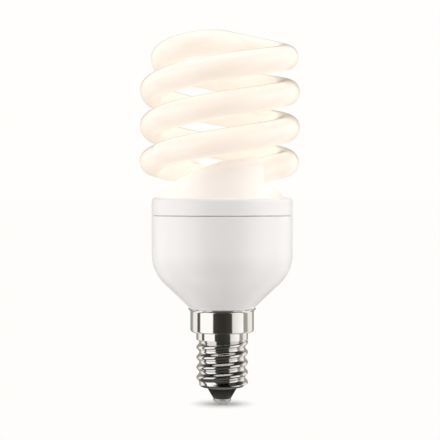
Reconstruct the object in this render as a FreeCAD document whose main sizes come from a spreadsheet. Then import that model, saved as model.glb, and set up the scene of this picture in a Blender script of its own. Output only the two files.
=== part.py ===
import FreeCAD, Part
import math
import os
import Sketcher

# A spiral energy saving bulb with a small screw cap.
# The frame stands on the lowest point of the centre contact, with Z up along the cap's axis.
# Plus X is the viewer's right and minus Y is the front. All sizes are in millimetres.

os.makedirs("parts", exist_ok=True)
doc = FreeCAD.newDocument("spiral_bulb")

# Driving sizes
DRIVING_SIZES = [
    # The glass tube: a coil of two starts that meet in a bridge on top
    ("tube_diameter", 6.7),
    ("coil_radius", 17.95),
    ("coil_lead", 18.9),
    ("coil_shift", 0.6),
    ("coil_start_height", 14.15),  # above the seam
    ("bridge_height", 32.1),  # above the coil's start
    ("front_arm_climb", 496.0),
    ("rear_arm_climb", 520.0),
    ("front_turn_rise", 1.7),
    ("rear_turn_rise", 0.7),
    ("leg_inset", 5.5),
    ("leg_mouth_angle", 52.0),
    ("leg_end_angle", 147.0),
    ("leg_bend_angle", 8.0),
    ("leg_dip", 0.35),
    ("leg_plunge", 3.3),
    ("leg_plunge_angle", 70.0),
    # The moulded housing
    ("housing_radius", 18.8),
    ("seam_height", 10.1),  # above the bowl's top
    ("lid_height", 4.9),
    ("lid_plate", 1.3),
    ("lid_edge_round", 1.2),
    ("lid_wall", 2.45),
    ("tongue_depth", 2.4),
    ("tongue_wall", 1.1),
    ("tongue_gap", 0.15),
    ("seam_bevel", 0.15),
    ("seam_gap", 0.22),
    ("seam_gap_depth", 0.7),
    ("ramp_inset", 0.8),
    ("ramp_wall", 0.65),
    ("ramp_mouth_angle", 54.0),
    ("ramp_mouth_rise", 10.3),
    ("ramp_fall", 10.5),
    ("ramp_fall_from", 50.0),
    ("ramp_fall_to", 218.0),
    ("ramp_outer_round", 3.6),
    ("ramp_inner_round", 3.0),
    ("tube_gap", 0.25),
    ("casing_wall", 1.2),
    ("cone_rise", 0.314833),
    ("bowl_radius", 11.15),
    ("bowl_top_height", 14.55),  # above the cap's rim
    ("neck_radius", 8.0),
    ("neck_shoulder_radius", 8.9),
    ("neck_floor_gap", 0.6),
    ("seat_gap", 0.05),
    ("board_ledge", 1.1),
    ("ledge_plate", 0.8),
    # The screw cap
    ("shell_wall", 0.35),
    ("lip_height", 4.0),
    ("lip_bore_radius", 3.9),
    ("lip_round", 1.2),
    ("thread_crest_radius", 6.945),
    ("thread_root_radius", 6.145),
    ("thread_pitch", 2.822),
    ("thread_arc", 0.822),
    ("thread_first_crest", 2.98),
    ("thread_top", 16.0),
    ("thread_run_out", 0.5),
    ("core_step", 0.03),
    ("ridge_sink", 0.009),
    ("ridge_back", 0.2),
    ("band_slope", 0.5),
    ("band_radius", 6.95),
    ("shoulder_height", 19.4),
    ("skirt_radius", 8.5),
    ("skirt_round", 0.8),
    ("rim_start_height", 24.9),
    ("rim_height", 25.75),
    ("rim_radius", 9.05),
    ("rim_edge", 0.25),
    ("glass_cone_radius", 3.83),
    ("glass_tip_radius", 2.14),
    ("glass_tip_height", 1.6),
    ("glass_top_height", 7.0),
    ("glass_corner_gap", 0.07),
    ("glass_side_gap", 0.2),
    ("wire_hole_radius", 0.8),
    ("contact_radius", 2.4),
    ("contact_plate", 0.85),
    ("contact_edge_round", 0.3),
    ("eyelet_depth", 1.4),
    ("eyelet_bore_radius", 0.6),
    ("solder_radius", 2.0),
    # The circuit board and what it carries
    ("board_edge_gap", 0.7),
    ("board_plate", 1.2),
    ("board_clearance", 0.2),
    ("lead_radius", 0.3),
    ("stand_off", 0.5),
    ("capacitor_radius", 4.0),
    ("capacitor_length", 12.0),
    ("capacitor_drop", 9.1),
    ("capacitor_lead_pitch", 3.5),
    ("core_width", 10.2),
    ("core_height", 10.6),
    ("core_depth", 4.7),
    ("core_leg", 2.5),
    ("core_side_leg", 1.3),
    ("choke_gap", 0.68851),
    ("bobbin_wall", 0.5),
    ("bobbin_depth", 8.6),
    ("bobbin_pin_inset", 0.6),
    ("winding_depth", 7.8),
    ("fit_gap", 0.1),
    ("ring_radius", 4.5),
    ("ring_bore_radius", 2.5),
    ("ring_height", 3.0),
    ("ring_wire", 0.4),
    ("ring_winding_width", 2.2),
    ("transistor_radius", 2.3),
    ("transistor_height", 4.6),
    ("transistor_flat", 0.345),
    ("transistor_lead_pitch", 1.27),
    ("film_length", 7.2),
    ("film_width", 3.0),
    ("film_height", 6.0),
    ("film_lead_inset", 1.0),
    ("drum_radius", 2.6),
    ("drum_height", 6.0),
    ("drum_lead_pitch", 2.5),
    ("diode_radius", 1.35),
    ("diode_length", 5.2),
    ("resistor_radius", 1.15),
    ("resistor_length", 6.3),
    ("resistor_spread", 7.4),
    ("trigger_radius", 0.9),
    ("trigger_length", 3.8),
    ("lead_reach", 1.2),
    ("fuse_radius", 1.2),
    ("fuse_length", 6.4),
    ("fuse_height", 22.6),
    ("fuse_offset", 4.6),
    ("pin_side", 1.0),
    ("pin_height", 3.0),
    ("inner_pin_inset", 5.9),
    ("outer_pin_inset", 2.9),
    ("cement_height", 4.6),
    ("cement_inner_gap", 0.3),
    ("cement_outer_gap", 0.15),
    ("electrode_pitch", 2.0),
    ("electrode_radius", 0.25),
    ("wire_gap", 0.02),
    ("wire_bend", 3.0),
    ("wire_lean_height", 10.0),
    ("wire_upright_height", 16.0),
    ("shell_wire_offset", 6.2),
    ("shell_wire_foot", 1.6),
    ("shell_wire_bend", 0.6),
]

# Where the parts on the board sit: across, deep, and turned about Z in degrees
BOARD_LAYOUT = {
    "smoothing_capacitor": (-1.6, 0.0, 0.0),
    "drive_ring": (-10.2, -2.5, 0.0),
    "transistor_1": (-5.5, 9.5, 25.0),
    "transistor_2": (0.5, 11.5, 0.0),
    "resonant_capacitor": (7.2, 9.2, -38.0),
    "coupling_capacitor": (7.2, -9.2, 38.0),
    "filter_choke": (-1.0, -11.5, 0.0),
    "rectifier_diode_1": (-4.5, 0.0, 90.0),
    "rectifier_diode_2": (-1.5, 0.0, 90.0),
    "rectifier_diode_3": (1.5, 0.0, 90.0),
    "rectifier_diode_4": (4.5, 0.0, 90.0),
    "resistor_3": (0.0, -6.4, 0.0),
    "resistor_4": (0.0, 6.4, 0.0),
    "trigger_diode": (-2.0, 8.9, 0.0),
}
# Angles below an arm's own side, and the strides in which the tube's way is laid
PIN_ANGLE = 162.0
RAMP_DEPTH = 12.0
RAMP_ROOM = 30.0
ARM_STRIDE = 20.0
LEG_STRIDE = 15.0
PASSAGE_START_ANGLE = 4.0
PASSAGE_END_ANGLE = 175.0
CEMENT_FROM_ANGLE = 118.0
CEMENT_TO_ANGLE = 143.0

sheet = doc.addObject("Spreadsheet::Sheet", "Sizes")
for row, (alias, number) in enumerate(DRIVING_SIZES, start=1):
    sheet.set(f"A{row}", alias)
    sheet.set(f"B{row}", str(number))
    sheet.setAlias(f"B{row}", alias)
doc.recompute()


class Size:
    """A size: its number now, and the formula that ties it to the sheet."""

    def __init__(self, number, formula):
        self.number = number
        self.formula = formula

    def __add__(self, other):
        other = as_size(other)
        return Size(self.number + other.number, f"({self.formula} + {other.formula})")

    def __radd__(self, other):
        return as_size(other) + self

    def __sub__(self, other):
        other = as_size(other)
        return Size(self.number - other.number, f"({self.formula} - {other.formula})")

    def __rsub__(self, other):
        return as_size(other) - self

    def __mul__(self, other):
        other = as_size(other)
        return Size(self.number * other.number, f"({self.formula} * {other.formula})")

    def __rmul__(self, other):
        return as_size(other) * self

    def __truediv__(self, other):
        other = as_size(other)
        return Size(self.number / other.number, f"({self.formula} / {other.formula})")

    def __neg__(self):
        return Size(-self.number, f"(0 - {self.formula})")


def as_size(value):
    if isinstance(value, Size):
        return value
    return Size(float(value), f"({float(value)})")


def size(alias):
    return Size(float(sheet.get(alias)), f"Sizes.{alias}")


def root(value):
    return Size(math.sqrt(value.number), f"sqrt({value.formula})")


nodes = []


def bind(item, path, value):
    """Give a property its size and tie it to the sheet."""
    item.setExpression(path, as_size(value).formula)


def place(item, across=0, deep=0, up=0, turn=0, axis=(0, 0, 1)):
    """Set a sub-part on its place, which follows the sheet."""
    item.Placement = FreeCAD.Placement(
        FreeCAD.Vector(as_size(across).number, as_size(deep).number, as_size(up).number),
        FreeCAD.Rotation(FreeCAD.Vector(*axis), turn),
    )
    bind(item, "Placement.Base.x", across)
    bind(item, "Placement.Base.y", deep)
    bind(item, "Placement.Base.z", up)


def keep(item, label):
    """Name a finished sub-part and list it for export."""
    item.Label = label
    nodes.append(item)
    return item


def origin_plane(body, role):
    return [item for item in body.Origin.OriginFeatures if item.Role == role][0]


def outline(body, name, corners, arcs=()):
    """A closed outline in the XZ plane. Every corner is held by its two sizes.

    arcs maps the number of a side to its radius and the side that its centre lies on:
    plus one for a centre on the left of the side's direction, minus one for the right.
    """
    sketch = body.newObject("Sketcher::SketchObject", name)
    sketch.AttachmentSupport = [(origin_plane(body, "XZ_Plane"), "")]
    sketch.MapMode = "FlatFace"
    corners = [(as_size(across), as_size(up)) for across, up in corners]
    arcs = dict(arcs)
    ends = []
    for number, start in enumerate(corners):
        end = corners[(number + 1) % len(corners)]
        first = FreeCAD.Vector(start[0].number, start[1].number, 0)
        last = FreeCAD.Vector(end[0].number, end[1].number, 0)
        if number not in arcs:
            edge = sketch.addGeometry(Part.LineSegment(first, last))
            ends.append((edge, 1, 2))
            continue
        radius, side = arcs[number]
        half = (last - first) * 0.5
        normal = FreeCAD.Vector(-half.y, half.x, 0).normalize() * side
        reach = math.sqrt(max(radius.number ** 2 - half.Length ** 2, 0.0))
        centre = first + half + normal * reach
        angles = [math.atan2(point.y - centre.y, point.x - centre.x) for point in (first, last)]
        circle = Part.Circle(centre, FreeCAD.Vector(0, 0, 1), radius.number)
        if side > 0:
            edge = sketch.addGeometry(Part.ArcOfCircle(circle, angles[0], angles[1]))
            ends.append((edge, 1, 2))
        else:
            edge = sketch.addGeometry(Part.ArcOfCircle(circle, angles[1], angles[0]))
            ends.append((edge, 2, 1))
        held = sketch.addConstraint(Sketcher.Constraint("Radius", edge, radius.number))
        sketch.setExpression(f"Constraints[{held}]", radius.formula)
    for number, (edge, first_end, last_end) in enumerate(ends):
        after, after_first, after_last = ends[(number + 1) % len(ends)]
        sketch.addConstraint(Sketcher.Constraint("Coincident", edge, last_end, after, after_first))
    for (edge, first_end, last_end), corner in zip(ends, corners):
        for kind, value, axis in (("DistanceX", corner[0], -2), ("DistanceY", corner[1], -1)):
            if value.number == 0:
                sketch.addConstraint(Sketcher.Constraint("PointOnObject", edge, first_end, axis))
                continue
            held = sketch.addConstraint(
                Sketcher.Constraint(kind, -1, 1, edge, first_end, value.number)
            )
            sketch.setExpression(f"Constraints[{held}]", value.formula)
    return sketch


def revolve(body, kind, name, corners, arcs=()):
    """Turn an outline about the Z axis, to add it to the body or to cut it away."""
    sketch = outline(body, name + "_outline", corners, arcs)
    feature = body.newObject("PartDesign::" + kind, name)
    feature.Profile = (sketch, [""])
    feature.ReferenceAxis = (sketch, ["V_Axis"])
    feature.Angle = 360
    return feature


def turned_body(label, corners, arcs=()):
    body = doc.addObject("PartDesign::Body", label)
    revolve(body, "Revolution", label + "_turn", corners, arcs)
    return body


def primitive(kind, name, sizes, across=0, deep=0, up=0, turn=0, axis=(0, 0, 1)):
    """A box or cylinder whose sizes and place follow the sheet."""
    item = doc.addObject("Part::" + kind, name)
    for path, value in sizes.items():
        bind(item, path, value)
    place(item, across, deep, up, turn, axis)
    return item


def block(name, width, depth, height, across=0, deep=0, up=0):
    """A box centred across and deep, standing on its own height."""
    sizes = {"Length": width, "Width": depth, "Height": height}
    return primitive("Box", name, sizes, across - width / 2, deep - depth / 2, up)


def rod(name, radius, height, across=0, deep=0, up=0, turn=0, axis=(0, 0, 1)):
    sizes = {"Radius": radius, "Height": height}
    return primitive("Cylinder", name, sizes, across, deep, up, turn, axis)


def fused(name, pieces):
    item = doc.addObject("Part::MultiFuse", name)
    item.Shapes = pieces
    return item


def less(name, base, tool):
    item = doc.addObject("Part::Cut", name)
    item.Base = base
    item.Tool = tool
    return item


# Heights that several pieces share
bowl_top = size("rim_height") + size("bowl_top_height")
seam = bowl_top + size("seam_height")
lid_top = seam + size("lid_height")
plate_bottom = lid_top - size("lid_plate")
casing_bore = size("housing_radius") - size("casing_wall")
lid_bore = size("housing_radius") - size("lid_wall")
tongue_end = seam - size("tongue_depth")
board_top = tongue_end - size("board_clearance")
board_bottom = board_top - size("board_plate")
tube_radius = size("tube_diameter") / 2
ramp_rise = tube_radius + size("tube_gap") + size("ramp_wall")
coil_start = seam + size("coil_start_height")
bridge_level = (coil_start + size("bridge_height")).number


# The way that the tube follows
coil_radius = size("coil_radius").number
leg_radius = (size("housing_radius") - size("leg_inset")).number
mouth = size("leg_mouth_angle").number
leg_end = size("leg_end_angle").number
plunge_start = size("leg_plunge_angle").number


def eased(share):
    share = min(max(share, 0.0), 1.0)
    return share ** 3 * (10 + share * (6 * share - 15))


def direction(angle):
    return FreeCAD.Vector(math.cos(math.radians(angle)), math.sin(math.radians(angle)), 0)


def arm_height(climb):
    """Height of the tube's centre after this many degrees of climb past the arm's own side."""
    height = coil_start.number + size("coil_lead").number * climb / 360
    dip_start = mouth / 3
    height -= size("leg_dip").number * eased((-climb - dip_start) / (mouth - dip_start))
    if climb < -plunge_start:
        share = (-climb - plunge_start) / (leg_end - plunge_start)
        height -= size("leg_plunge").number * share ** 2
    return height


def arm_point(climb, side):
    """A point of the arm that starts at this side: 0 for the front ramp's arm, 180 for the rear's."""
    out = eased((climb + mouth) / (mouth + size("leg_bend_angle").number))
    radius = leg_radius + (coil_radius - leg_radius) * out
    point = direction(climb + side) * radius
    point.x -= size("coil_shift").number * out
    point.z = arm_height(climb)
    return point


def steps(first, last, stride):
    count = max(1, round(abs(last - first) / stride))
    return [first + (last - first) * number / count for number in range(count + 1)]


def turn_in_points(centre, radius, start, sweep, climb, turn_rise):
    """The half turn that brings an arm from the coil into the bridge at the middle."""
    begin = arm_height(climb)
    length = math.radians(sweep) * radius
    slope = turn_rise * size("coil_lead").number / (2 * math.pi * coil_radius)
    points = []
    for number in range(1, 9):
        share = number / 8
        leave = 2 * share ** 3 - 3 * share ** 2 + 1
        height = leave * begin + (1 - leave) * bridge_level
        height += (share ** 3 - 2 * share ** 2 + share) * length * slope
        point = centre + direction(start + sweep * share) * radius
        point.x -= size("coil_shift").number
        point.z = height
        points.append(point)
    return points


def bearing(here, there):
    return math.degrees(math.atan2(there.y - here.y, there.x - here.x))


def tube_way():
    """The whole centreline, from the end in the front ramp over the bridge to the rear ramp."""
    climbs = (size("front_arm_climb").number, size("rear_arm_climb").number)
    rises = (size("front_turn_rise").number, size("rear_turn_rise").number)
    starts = (climbs[0], climbs[1] + 180)
    half = math.sin(math.radians((starts[1] - starts[0]) % 360 / 2))
    radius = coil_radius * half / (1 + half)
    centres = [direction(start) * (coil_radius - radius) for start in starts]
    arms = []
    for number in (0, 1):
        centre, other = centres[number], centres[1 - number]
        sweep = (bearing(centre, other) - starts[number]) % 360
        points = [arm_point(climb, 180 * number) for climb in steps(-leg_end, climbs[number], ARM_STRIDE)]
        points += turn_in_points(centre, radius, starts[number], sweep, climbs[number], rises[number])
        arms.append(points)
    return arms[0] + arms[1][:-1][::-1]


def section(curve, at, radius):
    """A round section square to the way, with its seam kept level."""
    centre = curve.value(at)
    along = curve.tangent(at)[0]
    circle = Part.Circle(centre, along, radius)
    circle.XAxis = FreeCAD.Vector(0, 0, 1).cross(along)
    return Part.Wire(circle.toShape())


def tube_solid(points, radius, span=6):
    """A round tube along the points, made in short lengths that share their end sections."""
    curve = Part.BSplineCurve()
    curve.interpolate(points)
    knots = curve.getKnots()
    faces = []
    for first in range(0, len(knots) - 1, span):
        length = knots[first:first + span + 1]
        wires = [section(curve, at, radius) for at in length]
        faces += Part.makeLoft(wires, False, False, False).Faces
    faces += [Part.Face(section(curve, at, radius)) for at in (knots[0], knots[-1])]
    shell = Part.Shell(faces)
    shell.sewShape()
    return Part.Solid(shell)


def feature(label, shape):
    item = doc.addObject("Part::Feature", label)
    item.Shape = shape
    return item


# Glass spiral: one sealed tube, bent hot into two arms that meet in a level bridge on top.
# Its two ends turn inwards and down into the lid's ramps.
glass_spiral = keep(feature("glass_spiral_tube", tube_solid(tube_way(), tube_radius.number)), "glass_spiral")


# Casing lid: a moulded disc with two helical ramps that sleeve the ends of the tube.
def ramp_crest(angle):
    """Height of a ramp's top at this many degrees below the arm's own side."""
    share = (angle - size("ramp_fall_from").number)
    share /= size("ramp_fall_to").number - size("ramp_fall_from").number
    return lid_top.number + size("ramp_mouth_rise").number - size("ramp_fall").number * eased(share)


def ramp_section(angle):
    """The arch of a ramp in the radial plane at this many degrees below the arm's own side."""
    outer = (size("housing_radius") - size("ramp_inset")).number
    inner = leg_radius - ramp_rise.number
    outer_round = size("ramp_outer_round").number
    inner_round = size("ramp_inner_round").number
    corner = 1 - math.sqrt(0.5)
    flat = [
        (outer, -RAMP_DEPTH),
        (outer, -outer_round),
        (outer - outer_round * corner, -outer_round * corner),
        (outer - outer_round, 0),
        (inner + inner_round, 0),
        (inner + inner_round * corner, -inner_round * corner),
        (inner, -inner_round),
        (inner, -RAMP_DEPTH),
    ]
    height = ramp_crest(angle)
    points = []
    for radius, up in flat:
        point = direction(-angle) * radius
        point.z = height + up
        points.append(point)
    edges = [
        Part.LineSegment(points[0], points[1]),
        Part.Arc(points[1], points[2], points[3]),
        Part.LineSegment(points[3], points[4]),
        Part.Arc(points[4], points[5], points[6]),
        Part.LineSegment(points[6], points[7]),
        Part.LineSegment(points[7], points[0]),
    ]
    return Part.Wire([edge.toShape() for edge in edges])


def ramp_solid():
    angles = steps(size("ramp_mouth_angle").number, size("ramp_fall_to").number, LEG_STRIDE)
    ramp = Part.makeLoft([ramp_section(angle) for angle in angles], True, False, False)
    foot = plate_bottom.number + size("lid_plate").number / 2
    above = Part.makeCylinder(size("housing_radius").number, RAMP_ROOM, FreeCAD.Vector(0, 0, foot))
    return ramp.common(above)


def passage_solid(side):
    """The bore in which an end of the tube lies, open at the mouth and into the casing."""
    climbs = steps(-PASSAGE_END_ANGLE, PASSAGE_START_ANGLE - mouth, LEG_STRIDE)
    points = [arm_point(climb, side) for climb in climbs]
    return tube_solid(points, tube_radius.number + size("tube_gap").number)


def half_turn(shape):
    copy = shape.copy()
    copy.rotate(FreeCAD.Vector(0, 0, 0), FreeCAD.Vector(0, 0, 1), 180)
    return copy


ramp = ramp_solid()
passage = passage_solid(0)
lid_disc = turned_body("lid_disc", [
    (0, plate_bottom),
    (lid_bore, plate_bottom),
    (lid_bore, tongue_end),
    (lid_bore + size("tongue_wall"), tongue_end),
    (lid_bore + size("tongue_wall"), seam),
    (size("housing_radius") - size("seam_gap_depth"), seam),
    (size("housing_radius") - size("seam_gap_depth"), seam + size("seam_gap")),
    (size("housing_radius") - size("seam_bevel"), seam + size("seam_gap")),
    (size("housing_radius"), seam + size("seam_gap") + size("seam_bevel")),
    (size("housing_radius"), lid_top - size("lid_edge_round")),
    (size("housing_radius") - size("lid_edge_round"), lid_top),
    (0, lid_top),
], {9: (size("lid_edge_round"), 1)})
lid_with_ramps = fused("lid_with_ramps", [
    lid_disc,
    feature("front_ramp", ramp),
    feature("rear_ramp", half_turn(ramp)),
])
lid_bores = fused("lid_bores", [
    feature("front_passage", passage),
    feature("rear_passage", half_turn(passage)),
])
keep(less("casing_lid_cut", lid_with_ramps, lid_bores), "casing_lid")

# Lower casing: a moulded bowl with a cone and a neck that is crimped into the cap.
# The cone runs from the neck's shoulder and touches the bowl's arc
neck_shoulder = size("rim_height") + size("seat_gap")
cone_foot = neck_shoulder + size("cone_rise")
bowl_centre = size("housing_radius") - size("bowl_radius")
centre_across = bowl_centre - size("neck_shoulder_radius")
centre_up = bowl_top - cone_foot
centre_away = centre_across * centre_across + centre_up * centre_up
cone_run = root(centre_away - size("bowl_radius") * size("bowl_radius"))
slope_sine = (centre_up * cone_run - centre_across * size("bowl_radius")) / centre_away
slope_cosine = (centre_across * cone_run + centre_up * size("bowl_radius")) / centre_away
cone_top = (
    bowl_centre + size("bowl_radius") * slope_sine,
    bowl_top - size("bowl_radius") * slope_cosine,
)
inner_bowl = size("bowl_radius") - size("casing_wall")
inner_cone_top = (
    bowl_centre + inner_bowl * slope_sine,
    bowl_top - inner_bowl * slope_cosine,
)
neck_bore = size("neck_radius") - size("casing_wall")
inner_cone_foot = inner_cone_top[1] - (inner_cone_top[0] - neck_bore) * slope_sine / slope_cosine
neck_bottom = size("shoulder_height") + size("shell_wall") + size("neck_floor_gap")
ledge_radius = casing_bore - size("board_ledge")
ledge_bottom = board_bottom - size("ledge_plate")
keep(turned_body("lower_casing_body", [
    (neck_bore, neck_bottom),
    (size("neck_radius"), neck_bottom),
    (size("neck_radius"), neck_shoulder),
    (size("neck_shoulder_radius"), neck_shoulder),
    (size("neck_shoulder_radius"), cone_foot),
    cone_top,
    (size("housing_radius"), bowl_top),
    (size("housing_radius"), seam - size("seam_bevel")),
    (size("housing_radius") - size("seam_bevel"), seam),
    (casing_bore, seam),
    (casing_bore, board_bottom),
    (ledge_radius, board_bottom),
    (ledge_radius, ledge_bottom),
    (casing_bore, ledge_bottom - size("board_ledge")),
    (casing_bore, bowl_top),
    inner_cone_top,
    (neck_bore, inner_cone_foot),
], {5: (size("bowl_radius"), 1), 14: (inner_bowl, -1)}), "lower_casing")


# Screw shell: nickel plated brass, drawn thin, with a rolled right hand thread.
def add_helix(body, kind, name, profile, height):
    """Sweep a ridge along the thread, to add it or to cut it away."""
    ridge = body.newObject("PartDesign::" + kind, name)
    ridge.Profile = (profile, [""])
    ridge.ReferenceAxis = (profile, ["V_Axis"])
    ridge.Mode = "pitch-height-angle"
    bind(ridge, "Pitch", size("thread_pitch"))
    bind(ridge, "Height", height)
    ridge.Reversed = False
    ridge.LeftHanded = False
    return ridge


wall = size("shell_wall")
pitch = size("thread_pitch")
crest_centre = size("thread_crest_radius") - size("thread_arc")
root_centre = size("thread_root_radius") + size("thread_arc")
# Where the crest's arc runs into the root's arc, as shares of the line between their centres
lean_across = (root_centre - crest_centre) / (2 * size("thread_arc"))
lean_up = pitch / (4 * size("thread_arc"))


def ridge_corners(middle, crest_arc, root_arc, foot, back):
    """The section of one ridge: its crest between two root arcs that end at the foot's radius."""
    drop = root_centre - foot
    reach = pitch / 2 - root(root_arc * root_arc - drop * drop)
    join_across = crest_centre + crest_arc * lean_across
    join_up = crest_arc * lean_up
    return [
        (back, middle - reach),
        (foot, middle - reach),
        (join_across, middle - join_up),
        (join_across, middle + join_up),
        (foot, middle + reach),
        (back, middle + reach),
    ], {1: (root_arc, -1), 2: (crest_arc, 1), 3: (root_arc, -1)}


core = size("thread_root_radius") + size("core_step")
inner_core = core - wall
shell = doc.addObject("PartDesign::Body", "screw_shell_body")
revolve(shell, "Revolution", "shell_blank", [
    (0, size("lip_height")),
    (core - size("lip_round"), size("lip_height")),
    (core, size("lip_height") + size("lip_round")),
    (core, size("thread_top")),
    (size("band_radius"), size("thread_top") + size("band_slope")),
    (size("band_radius"), size("shoulder_height")),
    (size("skirt_radius") - size("skirt_round"), size("shoulder_height")),
    (size("skirt_radius"), size("shoulder_height") + size("skirt_round")),
    (size("skirt_radius"), size("rim_start_height")),
    (size("rim_radius"), size("rim_height") - size("rim_edge")),
    (size("rim_radius"), size("rim_height")),
    (0, size("rim_height")),
], {1: (size("lip_round"), 1), 6: (size("skirt_round"), 1)})
corners, arcs = ridge_corners(
    size("thread_first_crest"), size("thread_arc"), size("thread_arc"),
    core - size("ridge_sink"), core - size("ridge_back"),
)
ridge_sketch = outline(shell, "outer_ridge_outline", corners, arcs)
thread_rise = size("thread_top") - size("thread_first_crest") - size("thread_run_out")
add_helix(shell, "AdditiveHelix", "outer_ridge", ridge_sketch, thread_rise)
fade = size("thread_crest_radius") - core + size("thread_run_out")
revolve(shell, "Groove", "thread_fade", [
    (size("lip_bore_radius") - 1, 0),
    (size("skirt_radius"), 0),
    (size("skirt_radius"), size("lip_height") + size("lip_round") + fade),
    (core + fade, size("lip_height") + size("lip_round") + fade),
    (core, size("lip_height") + size("lip_round")),
    (core - size("lip_round"), size("lip_height")),
    (size("lip_bore_radius") - 1, size("lip_height")),
], {4: (size("lip_round"), -1)})
revolve(shell, "Groove", "shell_hollow", [
    (0, size("lip_height") - 1),
    (size("lip_bore_radius"), size("lip_height") - 1),
    (size("lip_bore_radius"), size("lip_height") + wall),
    (core - size("lip_round"), size("lip_height") + wall),
    (inner_core, size("lip_height") + size("lip_round")),
    (inner_core, size("thread_top") + wall / 2),
    (size("band_radius") - wall, size("thread_top") + size("band_slope") + wall / 2),
    (size("band_radius") - wall, size("shoulder_height") + wall),
    (size("skirt_radius") - size("skirt_round"), size("shoulder_height") + wall),
    (size("skirt_radius") - wall, size("shoulder_height") + size("skirt_round")),
    (size("skirt_radius") - wall, size("rim_start_height") + wall / 2),
    (size("rim_radius") - wall, size("rim_height")),
    (size("rim_radius") - wall, size("rim_height") + 1),
    (0, size("rim_height") + 1),
], {3: (size("lip_round") - wall, 1), 8: (size("skirt_round") - wall, 1)})
corners, arcs = ridge_corners(
    size("thread_first_crest") + 2 * pitch, size("thread_arc") - wall, size("thread_arc") + wall,
    inner_core - 0.01, inner_core - 0.5,
)
inner_sketch = outline(shell, "inner_ridge_outline", corners, arcs)
add_helix(shell, "SubtractiveHelix", "inner_ridge", inner_sketch, thread_rise - 2 * pitch - 0.3)
keep(shell, "screw_shell")

# Cap insulator: black glass, cast into the shell's lip round the centre wire.
keep(turned_body("cap_insulator_body", [
    (size("wire_hole_radius"), size("glass_tip_height")),
    (size("glass_tip_radius"), size("glass_tip_height")),
    (size("glass_cone_radius"), size("lip_height")),
    (size("glass_cone_radius"), size("lip_height") + wall + size("seat_gap")),
    (core - size("lip_round") - size("glass_corner_gap"), size("lip_height") + wall + size("seat_gap")),
    (inner_core - size("glass_side_gap"), size("lip_height") + size("lip_round")),
    (inner_core - size("glass_side_gap"), size("glass_top_height")),
    (size("wire_hole_radius"), size("glass_top_height")),
]), "cap_insulator")

# Centre contact: a pressed disc with an eyelet that stands in the glass.
contact_bottom = size("glass_tip_height") - size("contact_plate")
eyelet_radius = size("wire_hole_radius") - size("seat_gap")
eyelet_top = size("glass_tip_height") + size("eyelet_depth")
keep(turned_body("centre_contact_body", [
    (size("eyelet_bore_radius"), contact_bottom),
    (size("contact_radius") - size("contact_edge_round"), contact_bottom),
    (size("contact_radius"), contact_bottom + size("contact_edge_round")),
    (size("contact_radius"), size("glass_tip_height")),
    (eyelet_radius, size("glass_tip_height")),
    (eyelet_radius, eyelet_top),
    (size("eyelet_bore_radius"), eyelet_top),
], {1: (size("contact_edge_round"), 1)}), "centre_contact")

# Contact solder: the low dome that closes the eyelet over the end of the wire.
solder_plug = size("eyelet_bore_radius") - size("seat_gap")
dome_radius = (size("solder_radius") * size("solder_radius") / contact_bottom + contact_bottom) / 2
keep(turned_body("contact_solder_body", [
    (0, 0),
    (size("solder_radius"), contact_bottom),
    (solder_plug, contact_bottom),
    (solder_plug, size("glass_tip_height")),
    (0, size("glass_tip_height")),
], {0: (dome_radius, 1)}), "contact_solder")

# Circuit board: a punched disc that rests on the casing's ledge.
board_radius = casing_bore - size("board_edge_gap")
circuit_board = rod("circuit_board_disc", board_radius, size("board_plate"), up=board_bottom)
keep(circuit_board, "circuit_board")

lead = size("lead_radius")
stand_off = size("stand_off")


def leads(name, places, length, up=0):
    return [rod(f"{name}_lead_{number}", lead, length, across, deep, up)
            for number, (across, deep) in enumerate(places, start=1)]


def hang(item, label):
    """Set a part under the board at its place in the layout."""
    across, deep, turn = BOARD_LAYOUT[label]
    place(item, across, deep, board_bottom, turn)
    return keep(item, label)


def stand(item, label):
    """Set a part on top of the board: it is modelled hanging, and is turned over."""
    across, deep, turn = BOARD_LAYOUT[label]
    flip = FreeCAD.Rotation(FreeCAD.Vector(0, 0, 1), turn).multiply(
        FreeCAD.Rotation(FreeCAD.Vector(1, 0, 0), 180))
    place(item, across, deep, board_top)
    item.Placement = FreeCAD.Placement(item.Placement.Base, flip)
    return keep(item, label)


# Smoothing capacitor: a sealed can on two long leads, which reaches down towards the neck.
can_length = size("capacitor_length")
half_pitch = size("capacitor_lead_pitch") / 2
can = rod("capacitor_can", size("capacitor_radius"), can_length, up=-size("capacitor_drop") - can_length)
hang(fused("smoothing_capacitor_parts", [can] + leads(
    "capacitor", [(0, -half_pitch), (0, half_pitch)], size("capacitor_drop") + 1,
    -size("capacitor_drop") - 1)), "smoothing_capacitor")


# Choke: a ferrite core with two windows, round a bobbin that carries the winding.
core_width = size("core_width")
core_height = size("core_height")
gap = size("fit_gap")
window_width = (core_width - size("core_leg")) / 2 - size("core_side_leg")
window_height = core_height - 2 * size("core_side_leg")
window_place = (size("core_leg") + window_width) / 2
core_up = -stand_off - core_height
window_up = core_up + size("core_side_leg")
core_block = block("core_block", core_width, size("core_depth"), core_height, up=core_up)
windows = fused("core_windows", [
    block(f"core_window_{number}", window_width, size("core_depth") + 2, window_height,
          window_place * side, 0, window_up)
    for number, side in enumerate((-1, 1), start=1)])
choke_core = less("choke_core_cut", core_block, windows)
tube_width = size("core_leg") + 2 * gap + 2 * size("bobbin_wall")
tube_depth = size("core_depth") + 2 * gap + 2 * size("bobbin_wall")
bobbin_height = window_height - 2 * gap
bobbin_up = window_up + gap
flange_width = core_width - 2 * size("core_side_leg") - 2 * gap
flange = size("bobbin_wall")
bobbin_tube = block("bobbin_tube", tube_width, tube_depth, bobbin_height, up=bobbin_up)
flanges = [block(f"bobbin_flange_{number}", flange_width, size("bobbin_depth"), flange, up=up)
           for number, up in enumerate((bobbin_up, bobbin_up + bobbin_height - flange), start=1)]
pin_across = flange_width / 2 - size("bobbin_pin_inset")
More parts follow.
